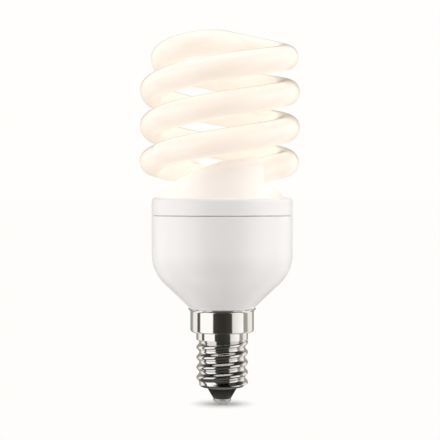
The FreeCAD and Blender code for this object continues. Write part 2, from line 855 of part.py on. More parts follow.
pin_deep = size("bobbin_depth") / 2 - size("bobbin_pin_inset")
flange_drop = -(bobbin_up + bobbin_height) + flange
bobbin_pins = leads("bobbin", [(pin_across * a, pin_deep * b) for a in (-1, 1) for b in (-1, 1)],
                    flange_drop, -flange_drop)
leg_hole = block("bobbin_hole", size("core_leg") + 2 * gap, size("core_depth") + 2 * gap,
                 bobbin_height + 2, up=bobbin_up - 1)
choke_bobbin = less("choke_bobbin_cut", fused("bobbin_parts", [bobbin_tube] + flanges + bobbin_pins), leg_hole)
coil_height = bobbin_height - 2 * flange - 2 * gap
coil_up = bobbin_up + flange + gap
coil_block = block("coil_block", flange_width - 2 * gap, size("winding_depth"), coil_height, up=coil_up)
coil_hole = block("coil_hole", tube_width + 2 * gap, tube_depth + 2 * gap, coil_height + 2, up=coil_up - 1)
choke_winding = less("choke_winding_cut", coil_block, coil_hole)
# The core's outer foot clears the bowl, whose inner face comes in towards the cone
foot_under = bowl_top - board_bottom - core_up
foot_reach = bowl_centre + root(inner_bowl * inner_bowl - foot_under * foot_under) - size("choke_gap")
half_depth = size("core_depth") / 2
choke_across = root(foot_reach * foot_reach - half_depth * half_depth) - core_width / 2
for item, label in ((choke_core, "choke_core"), (choke_bobbin, "choke_bobbin"),
                    (choke_winding, "choke_winding")):
    BOARD_LAYOUT[label] = (choke_across, 0.0, 0.0)
    hang(item, label)

# Drive ring: a small ferrite ring with three windings of a few turns.
ring_up = -stand_off - size("ring_wire") - size("ring_height")
ring_core = less(
    "drive_ring_cut",
    rod("ring_outside", size("ring_radius"), size("ring_height"), up=ring_up),
    rod("ring_bore", size("ring_bore_radius"), size("ring_height") + 2, up=ring_up - 1),
)
wire = size("ring_wire")
band_width = size("ring_radius") - size("ring_bore_radius") + 2 * wire + 2 * gap
band_place = (size("ring_radius") + size("ring_bore_radius")) / 2
bands = []
for number, angle in enumerate((90.0, 210.0, 330.0), start=1):
    band = block(f"ring_band_{number}", band_width, size("ring_winding_width"),
                 size("ring_height") + 2 * wire, band_place, 0, ring_up - wire)
    turned = fused(f"ring_band_turned_{number}", [band, rod(
        f"ring_tail_{number}", lead, -ring_up, band_place + band_width / 2 - lead, 0, ring_up)])
    turned.Placement = FreeCAD.Placement(
        FreeCAD.Vector(0, 0, 0), FreeCAD.Rotation(FreeCAD.Vector(0, 0, 1), angle))
    bands.append(turned)
ring_room = less(
    "ring_room",
    rod("ring_room_outside", size("ring_radius") + gap, size("ring_height") + 2 * gap, up=ring_up - gap),
    rod("ring_room_bore", size("ring_bore_radius") - gap, size("ring_height") + 2, up=ring_up - 1),
)
ring_windings = less("drive_ring_windings_cut", fused("ring_bands", bands), ring_room)
for item, label in ((ring_core, "drive_ring_core"), (ring_windings, "drive_ring_windings")):
    BOARD_LAYOUT[label] = BOARD_LAYOUT["drive_ring"]
    hang(item, label)

# Power transistors: small moulded cases with one flat side and three leads in a row.
case_height = size("transistor_height")
case_radius = size("transistor_radius")
lead_pitch = size("transistor_lead_pitch")
for label in ("transistor_1", "transistor_2"):
    case = rod(label + "_case", case_radius, case_height, up=-stand_off * 3 - case_height)
    flat = block(label + "_flat", 2 * case_radius, case_radius, case_height + 2,
                 deep=-case_radius - size("transistor_flat"), up=-stand_off * 3 - case_height - 1)
    legs = leads(label, [(-lead_pitch, 0), (0, 0), (lead_pitch, 0)], stand_off * 3 + 1, -stand_off * 3 - 1)
    hang(fused(label + "_parts", [less(label + "_body", case, flat)] + legs), label)

# Film capacitors: dipped blocks on two leads.
for label in ("resonant_capacitor", "coupling_capacitor"):
    film = block(label + "_film", size("film_length"), size("film_width"), size("film_height"),
                 up=-stand_off - size("film_height"))
    reach = size("film_length") / 2 - size("film_lead_inset")
    legs = leads(label, [(-reach, 0), (reach, 0)], stand_off + 1, -stand_off - 1)
    hang(fused(label + "_parts", [film] + legs), label)

# Filter choke: a drum of ferrite wound with fine wire, under a sleeve.
drum = rod("filter_drum", size("drum_radius"), size("drum_height"), up=-stand_off - size("drum_height"))
drum_pitch = size("drum_lead_pitch") / 2
drum_leads = leads("filter_choke", [(-drum_pitch, 0), (drum_pitch, 0)], stand_off + 1,
                   -stand_off - 1)
hang(fused("filter_choke_parts", [drum] + drum_leads), "filter_choke")


def axial_part(label, radius, length):
    """A round body lying under the board, with its two leads bent up to it."""
    reach = length / 2 + size("lead_reach")
    up = -radius - stand_off / 2
    body = rod(label + "_round", radius, length, -length / 2, 0, up, 90, (0, 1, 0))
    wire_rod = rod(label + "_wire", lead, reach * 2, -reach, 0, up, 90, (0, 1, 0))
    ends = [rod(f"{label}_end_{number}", lead * 0.9, -up, across, 0, up)
            for number, across in enumerate((lead - reach, reach - lead), start=1)]
    return fused(label + "_parts", [body, wire_rod] + ends)


BOARD_LAYOUT["resistor_1"] = (-size("resistor_spread"), 0.0, 90.0)
BOARD_LAYOUT["resistor_2"] = (size("resistor_spread"), 0.0, 90.0)
for number in range(1, 5):
    label = f"rectifier_diode_{number}"
    stand(axial_part(label, size("diode_radius"), size("diode_length")), label)
    label = f"resistor_{number}"
    stand(axial_part(label, size("resistor_radius"), size("resistor_length")), label)
stand(axial_part("trigger_diode", size("trigger_radius"), size("trigger_length")), "trigger_diode")

# Fusible resistor: stands in the neck beside the can, in line with the centre wire.
fuse_tail = size("fuse_height") - size("lead_reach")
fuse_body = rod("fuse_body", size("fuse_radius"), size("fuse_length"), up=size("fuse_height"))
fuse_wire = rod("fuse_wire", lead, board_bottom - fuse_tail, up=fuse_tail)
fusible_resistor = fused("fusible_resistor_parts", [fuse_body, fuse_wire])
place(fusible_resistor, size("fuse_offset"))
keep(fusible_resistor, "fusible_resistor")


# Wires: straight runs joined by arcs
def bent_wire(points, radius, bend):
    """A round wire along the points, with an arc of this radius at each inner one."""
    edges = []
    here = points[0]
    for number in range(1, len(points) - 1):
        corner = points[number]
        arrive = (corner - points[number - 1]).normalize()
        leave = (points[number + 1] - corner).normalize()
        half = arrive.getAngle(leave) / 2
        reach = bend * math.tan(half)
        first = corner - arrive * reach
        last = corner + leave * reach
        middle = corner + (leave - arrive).normalize() * (bend / math.cos(half) - bend)
        edges.append(Part.LineSegment(here, first).toShape())
        edges.append(Part.Arc(first, middle, last).toShape())
        here = last
    edges.append(Part.LineSegment(here, points[-1]).toShape())
    start = Part.Circle(points[0], points[1] - points[0], radius)
    return Part.Wire(edges).makePipeShell([Part.Wire(start.toShape())], True, False)


fuse_offset = size("fuse_offset").number
solder_top = (size("glass_tip_height") + size("wire_gap")).number
contact_wire = bent_wire([
    FreeCAD.Vector(0, 0, solder_top),
    FreeCAD.Vector(0, 0, size("wire_lean_height").number),
    FreeCAD.Vector(fuse_offset, 0, size("wire_upright_height").number),
    FreeCAD.Vector(fuse_offset, 0, fuse_tail.number),
], lead.number, size("wire_bend").number)
keep(feature("contact_wire_rod", contact_wire), "contact_wire")

# Shell wire: comes down beside the neck's bore and is pinched between the neck and the cap.
pinch_height = neck_bottom.number - lead.number
wire_deep = -size("shell_wire_offset").number
shell_wire = bent_wire([
    FreeCAD.Vector(0, wire_deep, board_bottom.number),
    FreeCAD.Vector(0, wire_deep, pinch_height),
    FreeCAD.Vector(0, wire_deep - size("shell_wire_foot").number, pinch_height),
], (lead - size("wire_gap")).number, size("shell_wire_bend").number)
keep(feature("shell_wire_rod", shell_wire), "shell_wire")

# Wrap pins, electrode leads and cement at the two ends of the tube
electrode_radius = size("electrode_radius").number
for side, end_name in ((0, "front"), (180, "rear")):
    end_points = tube_way()[:6]
    if side:
        end_points = tube_way()[:-7:-1]
    end_centre = end_points[0]
    outward = direction(side - leg_end)
    wires = []
    for number, inset in enumerate((size("inner_pin_inset"), size("outer_pin_inset")), start=1):
        label = f"{end_name}_wrap_pin_{number}"
        spot = direction(side - PIN_ANGLE) * (board_radius - inset).number
        pin = block(label + "_post", size("pin_side"), size("pin_side"), size("pin_height"),
                    spot.x, spot.y, board_top)
        keep(pin, label)
        shift = size("electrode_pitch").number * (number - 1.5)
        start = end_centre + outward * shift
        pin_top = board_top.number + size("pin_height").number
        end = FreeCAD.Vector(spot.x, spot.y, pin_top + electrode_radius)
        run = end - start
        wires.append(Part.makeCylinder(electrode_radius, run.Length, start, run))
    tube_end = tube_solid(end_points, tube_radius.number + gap.number)
    strands = [strand.cut(tube_end) for strand in wires]
    keep(feature(end_name + "_electrode_leads_pair", Part.makeCompound(strands)),
         end_name + "_electrode_leads")
    cement_bottom = plate_bottom.number - size("cement_height").number
    inner = leg_radius - (tube_radius + size("cement_inner_gap")).number
    outer = (lid_bore - size("cement_outer_gap")).number
    profile = Part.makePolygon([
        FreeCAD.Vector(inner, 0, cement_bottom),
        FreeCAD.Vector(outer, 0, cement_bottom),
        FreeCAD.Vector(outer, 0, plate_bottom.number),
        FreeCAD.Vector(inner, 0, plate_bottom.number),
        FreeCAD.Vector(inner, 0, cement_bottom),
    ])
    cement = Part.Face(profile).revolve(FreeCAD.Vector(0, 0, 0), FreeCAD.Vector(0, 0, 1),
                                        CEMENT_TO_ANGLE - CEMENT_FROM_ANGLE)
    cement.rotate(FreeCAD.Vector(0, 0, 0), FreeCAD.Vector(0, 0, 1), side - CEMENT_TO_ANGLE)
    keep(feature(end_name + "_tube_cement_block", cement.cut(tube_end)), end_name + "_tube_cement")

# Recompute, check every object and write each sub-part
doc.recompute()
for item in doc.Objects:
    if "Invalid" in item.State or "Error" in item.State:
        raise ValueError(f"{item.Label} failed: {item.State}")
for item in nodes:
    shape = item.Shape
    if shape.isNull() or not shape.isValid() or shape.Volume <= 0:
        raise ValueError(f"{item.Label} has no valid solid")
    shape.exportStep(f"parts/{item.Label}.step")
    print(item.Label, len(shape.Solids), round(shape.Volume, 2))
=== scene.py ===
import bpy
import math
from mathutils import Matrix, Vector


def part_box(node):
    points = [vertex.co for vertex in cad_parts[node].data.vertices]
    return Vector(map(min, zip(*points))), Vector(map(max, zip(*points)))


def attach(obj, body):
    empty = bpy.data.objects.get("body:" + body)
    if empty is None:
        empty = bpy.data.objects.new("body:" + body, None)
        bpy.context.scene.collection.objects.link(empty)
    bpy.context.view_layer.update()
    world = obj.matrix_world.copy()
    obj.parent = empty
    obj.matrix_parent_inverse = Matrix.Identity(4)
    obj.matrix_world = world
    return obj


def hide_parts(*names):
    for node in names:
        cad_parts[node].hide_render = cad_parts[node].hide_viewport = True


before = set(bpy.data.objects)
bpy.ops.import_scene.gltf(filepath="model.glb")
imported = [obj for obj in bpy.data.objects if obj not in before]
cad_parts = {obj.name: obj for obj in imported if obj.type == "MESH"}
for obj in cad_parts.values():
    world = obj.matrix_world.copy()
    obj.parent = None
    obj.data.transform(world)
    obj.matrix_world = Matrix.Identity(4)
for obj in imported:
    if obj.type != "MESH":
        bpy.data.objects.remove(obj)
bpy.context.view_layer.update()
bpy.ops.object.select_all(action="DESELECT")


# Screw shell
# The cap's shell is thin brass, deep drawn in steps, with its thread rolled in.
# It is plated with bright nickel, so it mirrors the room in clean upright strips.
def linear(colour, alpha=1.0):
    """An sRGB hex colour as linear red, green, blue and alpha."""
    shares = [int(colour[start:start + 2], 16) / 255 for start in (1, 3, 5)]
    return [share / 12.92 if share <= 0.04045 else ((share + 0.055) / 1.055) ** 2.4
            for share in shares] + [alpha]


def add_node(tree, kind, options=None, inputs=None, links=None):
    """Add one node, set its options and inputs, and link outputs of earlier nodes to it."""
    node = tree.nodes.new(kind)
    for option, value in (options or {}).items():
        setattr(node, option, value)
    for socket, value in (inputs or {}).items():
        node.inputs[socket].default_value = value
    for socket, output in (links or {}).items():
        tree.links.new(output, node.inputs[socket])
    return node


def empty_material(name):
    """A material with an empty node tree, to be filled by its own section."""
    material = bpy.data.materials.new(name)
    material.use_nodes = True
    material.node_tree.nodes.clear()
    return material


def dress(node_names, material):
    """Give CAD nodes their material. Their meshes stay as they are."""
    for name in node_names:
        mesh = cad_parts[name].data
        mesh.materials.clear()
        mesh.materials.append(material)


MILLIMETRE = 0.001
nickel = empty_material("bright_nickel_plate")
tree = nickel.node_tree
place = add_node(tree, "ShaderNodeTexCoord")
# Drawing marks run up the shell: they are close together across it and long along it. The real ones are
# finer than half a millimetre, which wouldn't show.
MARK_SPACING = 0.5
MARK_STRETCH = 0.06
HAZE_WIDTH = 4.0
squeeze = add_node(tree, "ShaderNodeMapping", inputs={"Scale": (1.0, 1.0, MARK_STRETCH)},
                   links={"Vector": place.outputs["Object"]})
marks = add_node(tree, "ShaderNodeTexNoise",
                 inputs={"Scale": 1 / (MARK_SPACING * MILLIMETRE), "Detail": 3.0, "Roughness": 0.5},
                 links={"Vector": squeeze.outputs["Vector"]})
gloss = add_node(tree, "ShaderNodeMapRange", inputs={"To Min": 0.05, "To Max": 0.11},
                 links={"Value": marks.outputs["Fac"]})
relief = add_node(tree, "ShaderNodeBump", inputs={"Strength": 0.03, "Distance": 0.02 * MILLIMETRE},
                  links={"Height": marks.outputs["Fac"]})
haze = add_node(tree, "ShaderNodeTexNoise",
                inputs={"Scale": 1 / (HAZE_WIDTH * MILLIMETRE), "Detail": 2.0},
                links={"Vector": place.outputs["Object"]})
tone = add_node(tree, "ShaderNodeMix", {"data_type": "RGBA"},
                links={"Factor": haze.outputs["Fac"]})
tone.inputs["A"].default_value = linear("#DEDCD9")
tone.inputs["B"].default_value = linear("#E9E7E5")
metal = add_node(tree, "ShaderNodeBsdfPrincipled", inputs={"Metallic": 1.0},
                 links={"Base Color": tone.outputs["Result"], "Roughness": gloss.outputs["Result"],
                        "Normal": relief.outputs["Normal"]})
add_node(tree, "ShaderNodeOutputMaterial", links={"Surface": metal.outputs["BSDF"]})
dress(["screw_shell"], nickel)


MERGE_REACH = 0.001
SHARP_ANGLE = math.radians(32.0)


def turned_piece(name, outline, columns):
    """Turn a piece: a ring of points is extruded and resized from each point of its outline to the next."""
    bpy.ops.object.select_all(action="DESELECT")
    radius, height = outline[0]
    bpy.ops.mesh.primitive_circle_add(vertices=columns, radius=radius * MILLIMETRE,
                                      location=(0, 0, height * MILLIMETRE))
    piece = bpy.context.object
    piece.name = name
    piece.data.name = name
    bpy.ops.object.mode_set(mode="EDIT")
    for next_radius, next_height in outline[1:]:
        rise = (next_height - height) * MILLIMETRE
        bpy.ops.mesh.extrude_region_move(TRANSFORM_OT_translate={"value": (0, 0, rise)})
        share = next_radius / radius
        bpy.ops.transform.resize(value=(share, share, 1), center_override=(0, 0, next_height * MILLIMETRE))
        radius, height = next_radius, next_height
    # Where the outline ends on the axis or at its own start, the last ring closes the piece
    bpy.ops.mesh.select_all(action="SELECT")
    bpy.ops.mesh.remove_doubles(threshold=MERGE_REACH * MILLIMETRE)
    bpy.ops.mesh.fill_holes(sides=0)
    bpy.ops.mesh.normals_make_consistent(inside=False)
    bpy.ops.object.mode_set(mode="OBJECT")
    bpy.ops.object.transform_apply(location=True, rotation=False, scale=False)
    return piece


def put_on(piece, material, node):
    """Give a turned piece its material and put it in the place of a CAD node."""
    piece.data.materials.append(material)
    bpy.ops.object.shade_smooth_by_angle(angle=SHARP_ANGLE)
    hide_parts(node)
    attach(piece, "root")


def corner(centre_radius, centre_height, radius, first, last, count):
    """Points of an outline round a corner, from one direction to the other in degrees."""
    turns = [math.radians(first + (last - first) * number / count) for number in range(count + 1)]
    return [(centre_radius + radius * math.cos(turn), centre_height + radius * math.sin(turn))
            for turn in turns]


def softly(value, low, high):
    """Zero below low, one above high and a smooth rise between them."""
    share = min(max((value - low) / (high - low), 0.0), 1.0)
    return share * share * (3 - 2 * share)


SHELL_WALL = 0.35
RIM_RADIUS = 9.05
RIM_TOP = 25.75
RIM_CURL = [(-0.35, -0.55), (-0.35, -0.03), (-0.07, 0.0), (0.0, -0.09),
            (-0.02, -0.25), (-0.25, -0.5), (-0.45, -0.7), (-0.55, -0.95)]
SKIRT_RADIUS = 8.5
SKIRT_ROUND = 0.65
SHOULDER_HEIGHT = 19.4
LIP_HEIGHT = 4.72
LIP_RADIUS = 4.2
LIP_ROUND = 0.75
THREAD_CREST = 6.92
THREAD_ROOT = 6.15
THREAD_TOP = 17.1
BAND_BLEND = (-0.1, 0.35)
ABOVE_THREAD = 0.6
zone_low = LIP_HEIGHT + LIP_ROUND
zone_high = THREAD_TOP + ABOVE_THREAD
inner_lip = LIP_HEIGHT + SHELL_WALL
inner_shoulder = SHOULDER_HEIGHT + SHELL_WALL
# Down the outside: the curled rim, the skirt, its shoulder, the band, the room for the thread and the lip
shell_outline = [(RIM_RADIUS + across, RIM_TOP + down) for across, down in RIM_CURL]
shell_outline += [(SKIRT_RADIUS, RIM_TOP - 1.05), (SKIRT_RADIUS, SHOULDER_HEIGHT + 0.9)]
shell_outline += corner(SKIRT_RADIUS - SKIRT_ROUND, SHOULDER_HEIGHT + SKIRT_ROUND, SKIRT_ROUND, 0, -90, 8)
shell_outline += [(7.2, SHOULDER_HEIGHT), (7.0, SHOULDER_HEIGHT), (THREAD_CREST, SHOULDER_HEIGHT - 0.1),
                  (THREAD_CREST, SHOULDER_HEIGHT - 0.25), (THREAD_CREST, zone_high), (THREAD_ROOT, zone_low)]
shell_outline += corner(THREAD_ROOT - LIP_ROUND, zone_low, LIP_ROUND, -10, -90, 7)
shell_outline += [(LIP_RADIUS + 0.1, LIP_HEIGHT), (LIP_RADIUS, LIP_HEIGHT + 0.06)]
# And back up the inside, a wall's thickness in
shell_outline += [(LIP_RADIUS, inner_lip), (THREAD_ROOT - LIP_ROUND, inner_lip),
                  (THREAD_ROOT - SHELL_WALL, zone_low), (THREAD_ROOT - SHELL_WALL, inner_shoulder - 0.05),
                  (SKIRT_RADIUS - 0.9, inner_shoulder), (SKIRT_RADIUS - 0.5, inner_shoulder + 0.2),
                  (SKIRT_RADIUS - SHELL_WALL, inner_shoulder + 0.55),
                  (SKIRT_RADIUS - SHELL_WALL, RIM_TOP - 1.0), shell_outline[0]]
SHELL_COLUMNS = 160
THREAD_STEPS = 112
SNAP = 0.01
shell = turned_piece("rolled_screw_shell", shell_outline, SHELL_COLUMNS)
bpy.ops.object.mode_set(mode="EDIT")
bpy.ops.mesh.select_mode(type="EDGE")
bpy.ops.mesh.select_all(action="DESELECT")
bpy.ops.object.mode_set(mode="OBJECT")
for edge in shell.data.edges:
    low, high = sorted(shell.data.vertices[end].co.z / MILLIMETRE for end in edge.vertices)
    edge.select = abs(low - zone_low) < SNAP and abs(high - zone_high) < SNAP
bpy.ops.object.mode_set(mode="EDIT")
bpy.ops.mesh.subdivide(number_cuts=THREAD_STEPS - 1)
bpy.ops.object.mode_set(mode="OBJECT")
# The thread climbs as a helix, starts softly over the lip, and its last crest runs into the band.
# No tool rolls such a thread, so the points of the subdivided wall are pressed in one by one.
THREAD_PITCH = 2.685
LAST_CREST_LEFT = 15.28
THREAD_BOTTOM = 5.6
START_BLEND = 1.0
CREST_SHARPNESS = 1.05
for point in shell.data.vertices:
    height = point.co.z / MILLIMETRE
    flat = math.hypot(point.co.x, point.co.y)
    if flat / MILLIMETRE < THREAD_ROOT - SNAP or not zone_low - SNAP < height < zone_high + SNAP:
        continue
    angle = math.atan2(point.co.y, point.co.x)
    turns = (height - LAST_CREST_LEFT) / THREAD_PITCH - (angle - math.pi) / (2 * math.pi)
    phase = turns - math.floor(turns + 0.5)
    wave = 0.5 + 0.5 * math.cos(2 * math.pi * phase)
    started = softly(height - phase * THREAD_PITCH, THREAD_BOTTOM - START_BLEND, THREAD_BOTTOM)
    radius = THREAD_ROOT + (THREAD_CREST - THREAD_ROOT) * wave ** CREST_SHARPNESS * started
    radius += (THREAD_CREST - radius) * softly(height, THREAD_TOP + BAND_BLEND[0], THREAD_TOP + BAND_BLEND[1])
    point.co.x *= radius * MILLIMETRE / flat
    point.co.y *= radius * MILLIMETRE / flat
put_on(shell, nickel, "screw_shell")

# Cap insulator
# The tip of the cap is black glass, cast into the shell's lip round the centre wire.
# It is glossy, with a slightly wavy skin where it cooled free.
SKIN_WAVE = 1.2
black_glass = empty_material("cast_black_glass")
tree = black_glass.node_tree
place = add_node(tree, "ShaderNodeTexCoord")
skin = add_node(tree, "ShaderNodeTexNoise",
                inputs={"Scale": 1 / (SKIN_WAVE * MILLIMETRE), "Detail": 2.0},
                links={"Vector": place.outputs["Object"]})
relief = add_node(tree, "ShaderNodeBump", inputs={"Strength": 0.15, "Distance": 0.1 * MILLIMETRE},
                  links={"Height": skin.outputs["Fac"]})
tone = add_node(tree, "ShaderNodeMix", {"data_type": "RGBA"},
                links={"Factor": skin.outputs["Fac"]})
tone.inputs["A"].default_value = linear("#2A2620")
tone.inputs["B"].default_value = linear("#38332A")
surface = add_node(tree, "ShaderNodeBsdfPrincipled", inputs={"Roughness": 0.16, "IOR": 1.52},
                   links={"Base Color": tone.outputs["Result"], "Normal": relief.outputs["Normal"]})
add_node(tree, "ShaderNodeOutputMaterial", links={"Surface": surface.outputs["BSDF"]})
dress(["cap_insulator"], black_glass)
TIP_RADIUS = 2.35
TIP_HEIGHT = 1.58
CONE_BULGE = 0.04
CONE_STEPS = 10
BORE_RADIUS = 0.8
GLASS_COLUMNS = 96
seat_radius = LIP_RADIUS - 0.05
cone_radius = LIP_RADIUS - 0.1
cone_height = LIP_HEIGHT - 0.1
glass_top = LIP_HEIGHT + 1.5
glass_outline = [(seat_radius, LIP_HEIGHT + 0.3), (seat_radius, LIP_HEIGHT - 0.02)]
for step in range(CONE_STEPS + 1):
    share = step / CONE_STEPS
    glass_outline.append((cone_radius + (TIP_RADIUS - cone_radius) * share
                          + CONE_BULGE * math.sin(math.pi * share),
                          cone_height + (TIP_HEIGHT - cone_height) * share))
# Across the tip, up the bore round the wire and back over the top
glass_outline += [(TIP_RADIUS - 0.15, TIP_HEIGHT + 0.02), (BORE_RADIUS, TIP_HEIGHT + 0.02),
                  (BORE_RADIUS, glass_top), (seat_radius, glass_top), glass_outline[0]]
put_on(turned_piece("cast_glass_tip", glass_outline, GLASS_COLUMNS), black_glass, "cap_insulator")

# Centre contact
# A pressed brass disc with an eyelet that stands in the black glass.
# It is tinned, so it is pale and softly bright.
tinned_brass = empty_material("tinned_brass")
tree = tinned_brass.node_tree
place = add_node(tree, "ShaderNodeTexCoord")
grain = add_node(tree, "ShaderNodeTexNoise",
                 inputs={"Scale": 1 / (0.3 * MILLIMETRE), "Detail": 4.0},
                 links={"Vector": place.outputs["Object"]})
gloss = add_node(tree, "ShaderNodeMapRange", inputs={"To Min": 0.2, "To Max": 0.34},
                 links={"Value": grain.outputs["Fac"]})
tone = add_node(tree, "ShaderNodeMix", {"data_type": "RGBA"},
                links={"Factor": grain.outputs["Fac"]})
tone.inputs["A"].default_value = linear("#E2DFD8")
tone.inputs["B"].default_value = linear("#F0EEE8")
metal = add_node(tree, "ShaderNodeBsdfPrincipled", inputs={"Metallic": 0.45},
                 links={"Base Color": tone.outputs["Result"], "Roughness": gloss.outputs["Result"]})
add_node(tree, "ShaderNodeOutputMaterial", links={"Surface": metal.outputs["BSDF"]})
dress(["centre_contact"], tinned_brass)

# Contact solder
# A low dome of tin solder that closes the eyelet over the end of the wire.
# It set from liquid, so it is bright, with shallow ripples and a few dull patches.
tin_solder = empty_material("set_tin_solder")
tree = tin_solder.node_tree
place = add_node(tree, "ShaderNodeTexCoord")
ripple = add_node(tree, "ShaderNodeTexNoise",
                  inputs={"Scale": 1 / (0.8 * MILLIMETRE), "Detail": 3.0, "Distortion": 0.6},
                  links={"Vector": place.outputs["Object"]})
gloss = add_node(tree, "ShaderNodeMapRange", inputs={"To Min": 0.16, "To Max": 0.4},
                 links={"Value": ripple.outputs["Fac"]})
relief = add_node(tree, "ShaderNodeBump", inputs={"Strength": 0.3, "Distance": 0.1 * MILLIMETRE},
                  links={"Height": ripple.outputs["Fac"]})
metal = add_node(tree, "ShaderNodeBsdfPrincipled",
                 inputs={"Base Color": linear("#D8D6D2"), "Metallic": 0.55},
                 links={"Roughness": gloss.outputs["Result"], "Normal": relief.outputs["Normal"]})
add_node(tree, "ShaderNodeOutputMaterial", links={"Surface": metal.outputs["BSDF"]})
dress(["contact_solder"], tin_solder)
DOME_RADIUS = 2.05
DOME_HEIGHT = 0.75
DOME_STEPS = 14
DOME_COLUMNS = 64
SIDE_FULLNESS = 0.7
TOP_FULLNESS = 0.9
LAST_TURN = math.radians(88.0)
# A full ellipse from the rim down to just beside the axis, where one point closes it
dome_outline = []
for step in range(DOME_STEPS + 1):
    turn = LAST_TURN * step / DOME_STEPS
    dome_outline.append((DOME_RADIUS * math.cos(turn) ** SIDE_FULLNESS,
                         DOME_HEIGHT * (1 - math.sin(turn) ** TOP_FULLNESS)))
dome_outline.append((0, 0))
put_on(turned_piece("set_solder_dome", dome_outline, DOME_COLUMNS), tin_solder, "contact_solder")

# Circuit board
# A punched disc of brown paper laminate with copper tracks on its upper side.
# The tracks lie under a thin green lacquer, which leaves the bare laminate's fibres to show between them.
TRACK_SPACING = 5
TRACK_GAP = 0.09
laminate = empty_material("lacquered_paper_laminate")
tree = laminate.node_tree
place = add_node(tree, "ShaderNodeTexCoord")
fibres = add_node(tree, "ShaderNodeTexNoise",
                  inputs={"Scale": 1 / (0.4 * MILLIMETRE), "Detail": 5.0},
                  links={"Vector": place.outputs["Object"]})
paper_tone = add_node(tree, "ShaderNodeMix", {"data_type": "RGBA"},
                      links={"Factor": fibres.outputs["Fac"]})
paper_tone.inputs["A"].default_value = linear("#A98758")
paper_tone.inputs["B"].default_value = linear("#C2A06C")
islands = add_node(tree, "ShaderNodeTexVoronoi", {"feature": "DISTANCE_TO_EDGE"},
                   inputs={"Scale": 1 / (TRACK_SPACING * MILLIMETRE)},
                   links={"Vector": place.outputs["Object"]})
track = add_node(tree, "ShaderNodeMath", {"operation": "GREATER_THAN"}, inputs={1: TRACK_GAP},
                 links={0: islands.outputs["Distance"]})
facing = add_node(tree, "ShaderNodeNewGeometry")
upward = add_node(tree, "ShaderNodeSeparateXYZ", links={"Vector": facing.outputs["Normal"]})
on_top = add_node(tree, "ShaderNodeMath", {"operation": "GREATER_THAN"}, inputs={1: 0.5},
                  links={0: upward.outputs["Z"]})
copper_side = add_node(tree, "ShaderNodeMath", {"operation": "MULTIPLY"},
                       links={0: track.outputs["Value"], 1: on_top.outputs["Value"]})
tone = add_node(tree, "ShaderNodeMix", {"data_type": "RGBA"},
                links={"Factor": copper_side.outputs["Value"], "A": paper_tone.outputs["Result"]})
tone.inputs["B"].default_value = linear("#3F6B3A")
relief = add_node(tree, "ShaderNodeBump", inputs={"Strength": 0.4, "Distance": 0.05 * MILLIMETRE},
                  links={"Height": copper_side.outputs["Value"]})
surface = add_node(tree, "ShaderNodeBsdfPrincipled", inputs={"Roughness": 0.45},
                   links={"Base Color": tone.outputs["Result"], "Normal": relief.outputs["Normal"]})
add_node(tree, "ShaderNodeOutputMaterial", links={"Surface": surface.outputs["BSDF"]})
dress(["circuit_board"], laminate)


# Wires and pins
# Tinned copper wires run to the cap, and square pins carry the electrode leads of the tube.
# The tinning was dipped, so it is bright in some places and grey in others.
def tinned_surface(tree, place):
    """The shader of dipped tin, for whole wires and for the leads of the parts."""
    patches = add_node(tree, "ShaderNodeTexNoise",
                       inputs={"Scale": 1 / (0.7 * MILLIMETRE), "Detail": 3.0},
                       links={"Vector": place.outputs["Object"]})
    gloss = add_node(tree, "ShaderNodeMapRange", inputs={"To Min": 0.22, "To Max": 0.42},
                     links={"Value": patches.outputs["Fac"]})
    return add_node(tree, "ShaderNodeBsdfPrincipled",
                    inputs={"Base Color": linear("#CBC9C5"), "Metallic": 1.0},
                    links={"Roughness": gloss.outputs["Result"]})


tinned_copper = empty_material("dipped_tinned_copper")
tree = tinned_copper.node_tree
place = add_node(tree, "ShaderNodeTexCoord")
metal = tinned_surface(tree, place)
add_node(tree, "ShaderNodeOutputMaterial", links={"Surface": metal.outputs["BSDF"]})
dress([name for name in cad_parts
       if name.endswith("_wire") or "_wrap_pin_" in name or name.endswith("_electrode_leads")],
      tinned_copper)


# Smoothing capacitor
# An aluminium can in a shrunk sleeve of black film, with a pale stripe down the side of its minus lead.
# Its two long tinned leads reach up to the board.
def body_and_leads(tree, place, body, axis, centre, half_length):
    """Finish a material: its body along this axis, and dipped tin on what reaches past it."""
    parts = add_node(tree, "ShaderNodeSeparateXYZ", links={"Vector": place.outputs["Object"]})
    along = add_node(tree, "ShaderNodeMath", {"operation": "SUBTRACT"},
                     inputs={1: centre * MILLIMETRE}, links={0: parts.outputs[axis]})
    away = add_node(tree, "ShaderNodeMath", {"operation": "ABSOLUTE"}, links={0: along.outputs["Value"]})
    past = add_node(tree, "ShaderNodeMath", {"operation": "GREATER_THAN"},
                    inputs={1: half_length * MILLIMETRE}, links={0: away.outputs["Value"]})
    tin = tinned_surface(tree, place)
    both = add_node(tree, "ShaderNodeMixShader",
                    links={"Fac": past.outputs["Value"], 1: body.outputs["BSDF"], 2: tin.outputs["BSDF"]})
    add_node(tree, "ShaderNodeOutputMaterial", links={"Surface": both.outputs["Shader"]})


